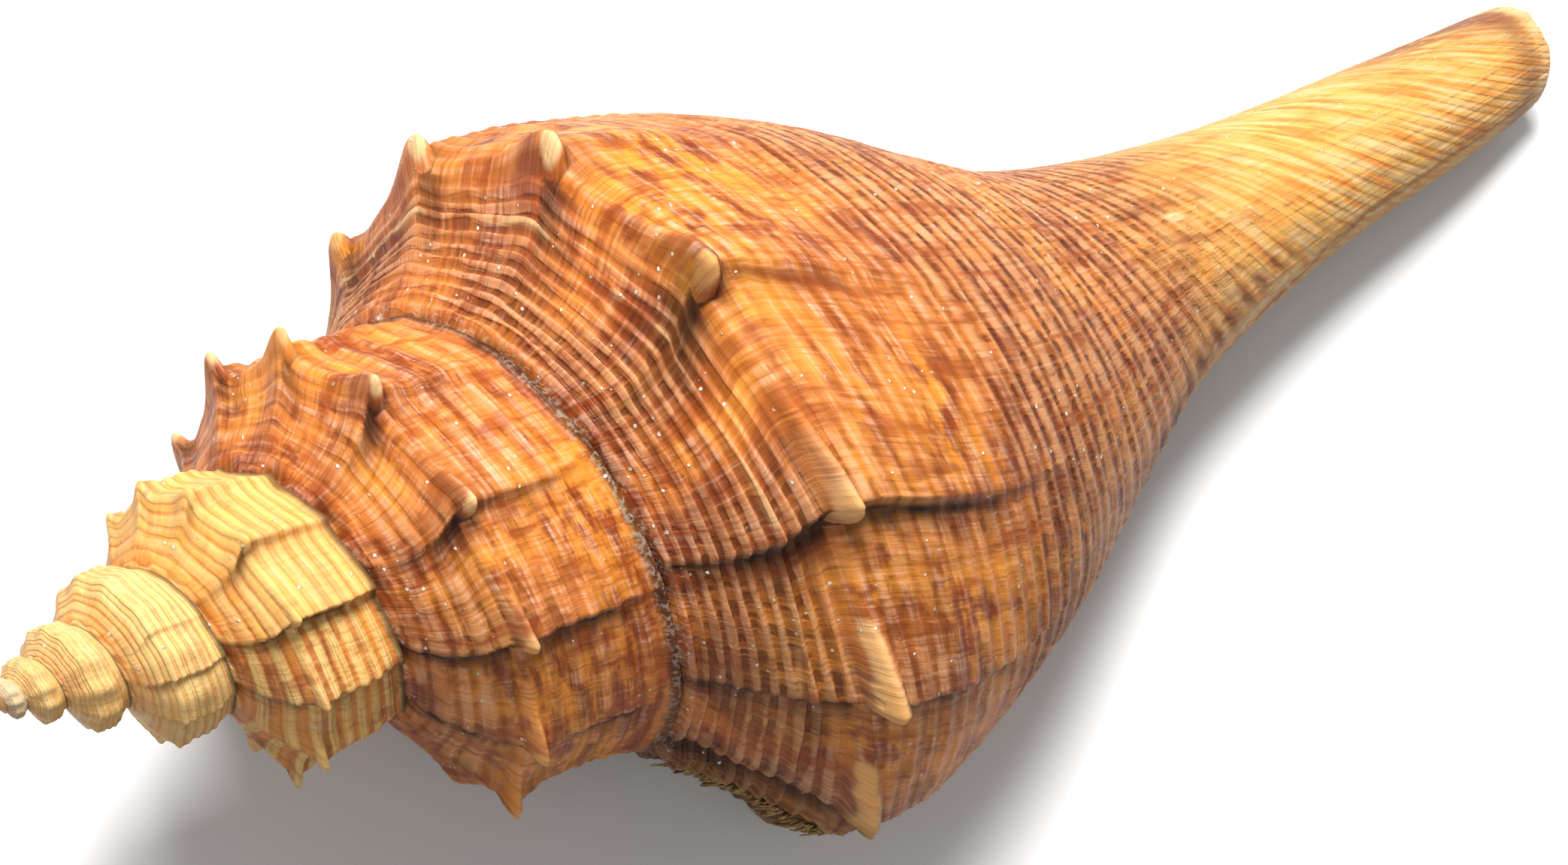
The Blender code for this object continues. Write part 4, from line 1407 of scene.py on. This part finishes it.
class SHELL_OT_spire(bpy.types.Operator):
    """Model the early turns, up to the worn apex"""
    bl_idname = "shell.spire"
    bl_label = "Spire"

    def execute(self, context):
        sizes = context.scene.spindle_shell.sizes
        material = bpy.data.materials["grown_shell"]
        last = -1.0
        for name, first, per_turn, step in EARLY_TURNS:
            make(name, material, **early_turn(turn_steps(first, last, per_turn), step, sizes))
            last = first
        make("apex", material, **apex())
        return {"FINISHED"}


class SHELL_OT_mouth(bpy.types.Operator):
    """Model the hollow, the lip's edge, the channel and the canal's broken end"""
    bl_idname = "shell.mouth"
    bl_label = "Mouth and channel"

    def execute(self, context):
        settings = context.scene.spindle_shell
        sizes = settings.sizes
        material = mouth_lining(settings.colours)
        make("mouth_hollow", material, **hollow(sizes))
        make("canal_channel", material, **channel())
        make("lip_edge", material, **lip_edge(sizes))
        make("canal_end", material, **canal_end_cap(sizes))
        return {"FINISHED"}


class SHELL_OT_fringe(bpy.types.Operator):
    """Hang the torn, dried skin off the lip"""
    bl_idname = "shell.fringe"
    bl_label = "Fringe at the lip"

    def execute(self, context):
        settings = context.scene.spindle_shell
        make("lip_fringe", dried_skin(settings.colours), **fringe(settings.sizes))
        return {"FINISHED"}


class SHELL_OT_stage(bpy.types.Operator):
    """Set up the floor, the lights and the camera"""
    bl_idname = "shell.stage"
    bl_label = "Stage"

    def execute(self, context):
        scene = context.scene
        stage = scene.spindle_shell.stage
        half = stage.floor_size / 2.0
        corners = ((-half, -half, 0.0), (half, -half, 0.0), (half, half, 0.0), (-half, half, 0.0))
        mesh = bpy.data.meshes.new("floor")
        mesh.from_pydata(corners, [], [(0, 1, 2, 3)])
        mesh.materials.append(self.paper(stage))
        floor = bpy.data.objects.new("floor", mesh)
        floor.location.z = -FLOOR_DROP
        scene.collection.objects.link(floor)
        self.lights(scene)
        self.camera(scene, stage)
        scene.view_settings.view_transform = "Standard"
        return {"FINISHED"}

    def paper(self, stage):
        """Matt white paper: no gloss, so only the soft shadow shows on it.

        It is white where it is seen, and throws less light back up under the shell. Away from
        the shell it runs into the white round it.
        """
        material, tree = new_material("paper")
        seen = seen_straight(tree)
        colour = lay(tree, (BOUNCE, BOUNCE, BOUNCE), stage.floor, seen)
        matt = add(tree, "ShaderNodeBsdfDiffuse", {"Color": colour})
        white = add(tree, "ShaderNodeEmission", (WHITE, 1.0))
        place = add(tree, "ShaderNodeTexCoord", out="Object")
        away = add(tree, "ShaderNodeVectorMath", (place,), "Value", operation="LENGTH")
        far = amount(tree, seen, (away, *FLOOR_FADE))
        both = add(tree, "ShaderNodeMixShader", (far, matt, white))
        add(tree, "ShaderNodeOutputMaterial", (both,), None)
        return material

    def lights(self, scene):
        """A large soft key lamp behind and above, a fill at the front left, and a white world.

        The world is white where it is seen and dim as soft light.
        """
        for name, power, size, place in LAMPS:
            lamp = bpy.data.lights.new(name, "AREA")
            lamp.energy = power
            lamp.size = size
            made = bpy.data.objects.new(name, lamp)
            made.location = place
            made.rotation_euler = (-Vector(place)).to_track_quat("-Z", "Y").to_euler()
            scene.collection.objects.link(made)
        world = bpy.data.worlds.new("studio")
        world.use_nodes = True
        tree = world.node_tree
        tree.nodes.clear()
        strength = add(tree, MATH, (seen_straight(tree), 1.0 - SKY, SKY),
                       operation="MULTIPLY_ADD")
        background = add(tree, "ShaderNodeBackground", (WHITE, strength))
        add(tree, "ShaderNodeOutputWorld", (background,), None)
        scene.world = world

    def camera(self, scene, stage):
        """A long lens that looks down on the shell, turned about its own line of view."""
        level = math.cos(stage.elevation)
        back = Vector((math.sin(stage.azimuth) * level, -math.cos(stage.azimuth) * level,
                       math.sin(stage.elevation)))
        side = Vector((0.0, 0.0, 1.0)).cross(back).normalized()
        above = back.cross(side)
        up = above * math.cos(stage.roll) - side * math.sin(stage.roll)
        right = up.cross(back)
        data = bpy.data.cameras.new("camera")
        data.lens = stage.focal
        data.clip_start = 0.01
        camera = bpy.data.objects.new("camera", data)
        turned = Matrix((right, up, back)).transposed().to_4x4()
        place = Vector(stage.target) + back * stage.distance
        camera.matrix_world = Matrix.Translation(place) @ turned
        scene.collection.objects.link(camera)
        scene.camera = camera


class SHELL_PT_panel(bpy.types.Panel):
    """Lists the shell's steps and settings."""
    bl_idname = "SHELL_PT_panel"
    bl_label = "Spindle shell"
    bl_space_type = "VIEW_3D"
    bl_region_type = "UI"
    bl_category = "Spindle Shell"

    def draw(self, context):
        settings = context.scene.spindle_shell
        for step in STEPS:
            self.layout.operator(step.bl_idname)
        for group in (settings.sizes, settings.colours, settings.stage):
            for name in group.__annotations__:
                self.layout.prop(group, name)


class ShellSettings(bpy.types.PropertyGroup):
    """All settings of the shell."""
    sizes: bpy.props.PointerProperty(type=ShellSizes)
    colours: bpy.props.PointerProperty(type=ShellColours)
    stage: bpy.props.PointerProperty(type=StageSettings)


STEPS = (SHELL_OT_last_turn, SHELL_OT_spire, SHELL_OT_mouth, SHELL_OT_fringe, SHELL_OT_stage)
CLASSES = (ShellSizes, ShellColours, StageSettings, ShellSettings, *STEPS, SHELL_PT_panel)


def register():
    for each in CLASSES:
        bpy.utils.register_class(each)
    bpy.types.Scene.spindle_shell = bpy.props.PointerProperty(type=ShellSettings)


def unregister():
    del bpy.types.Scene.spindle_shell
    for each in reversed(CLASSES):
        bpy.utils.unregister_class(each)


def main():
    """Run every step in order."""
    register()
    bpy.ops.shell.last_turn()
    bpy.ops.shell.spire()
    bpy.ops.shell.mouth()
    bpy.ops.shell.fringe()
    bpy.ops.shell.stage()
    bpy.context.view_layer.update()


if __name__ == "__main__":
    main()
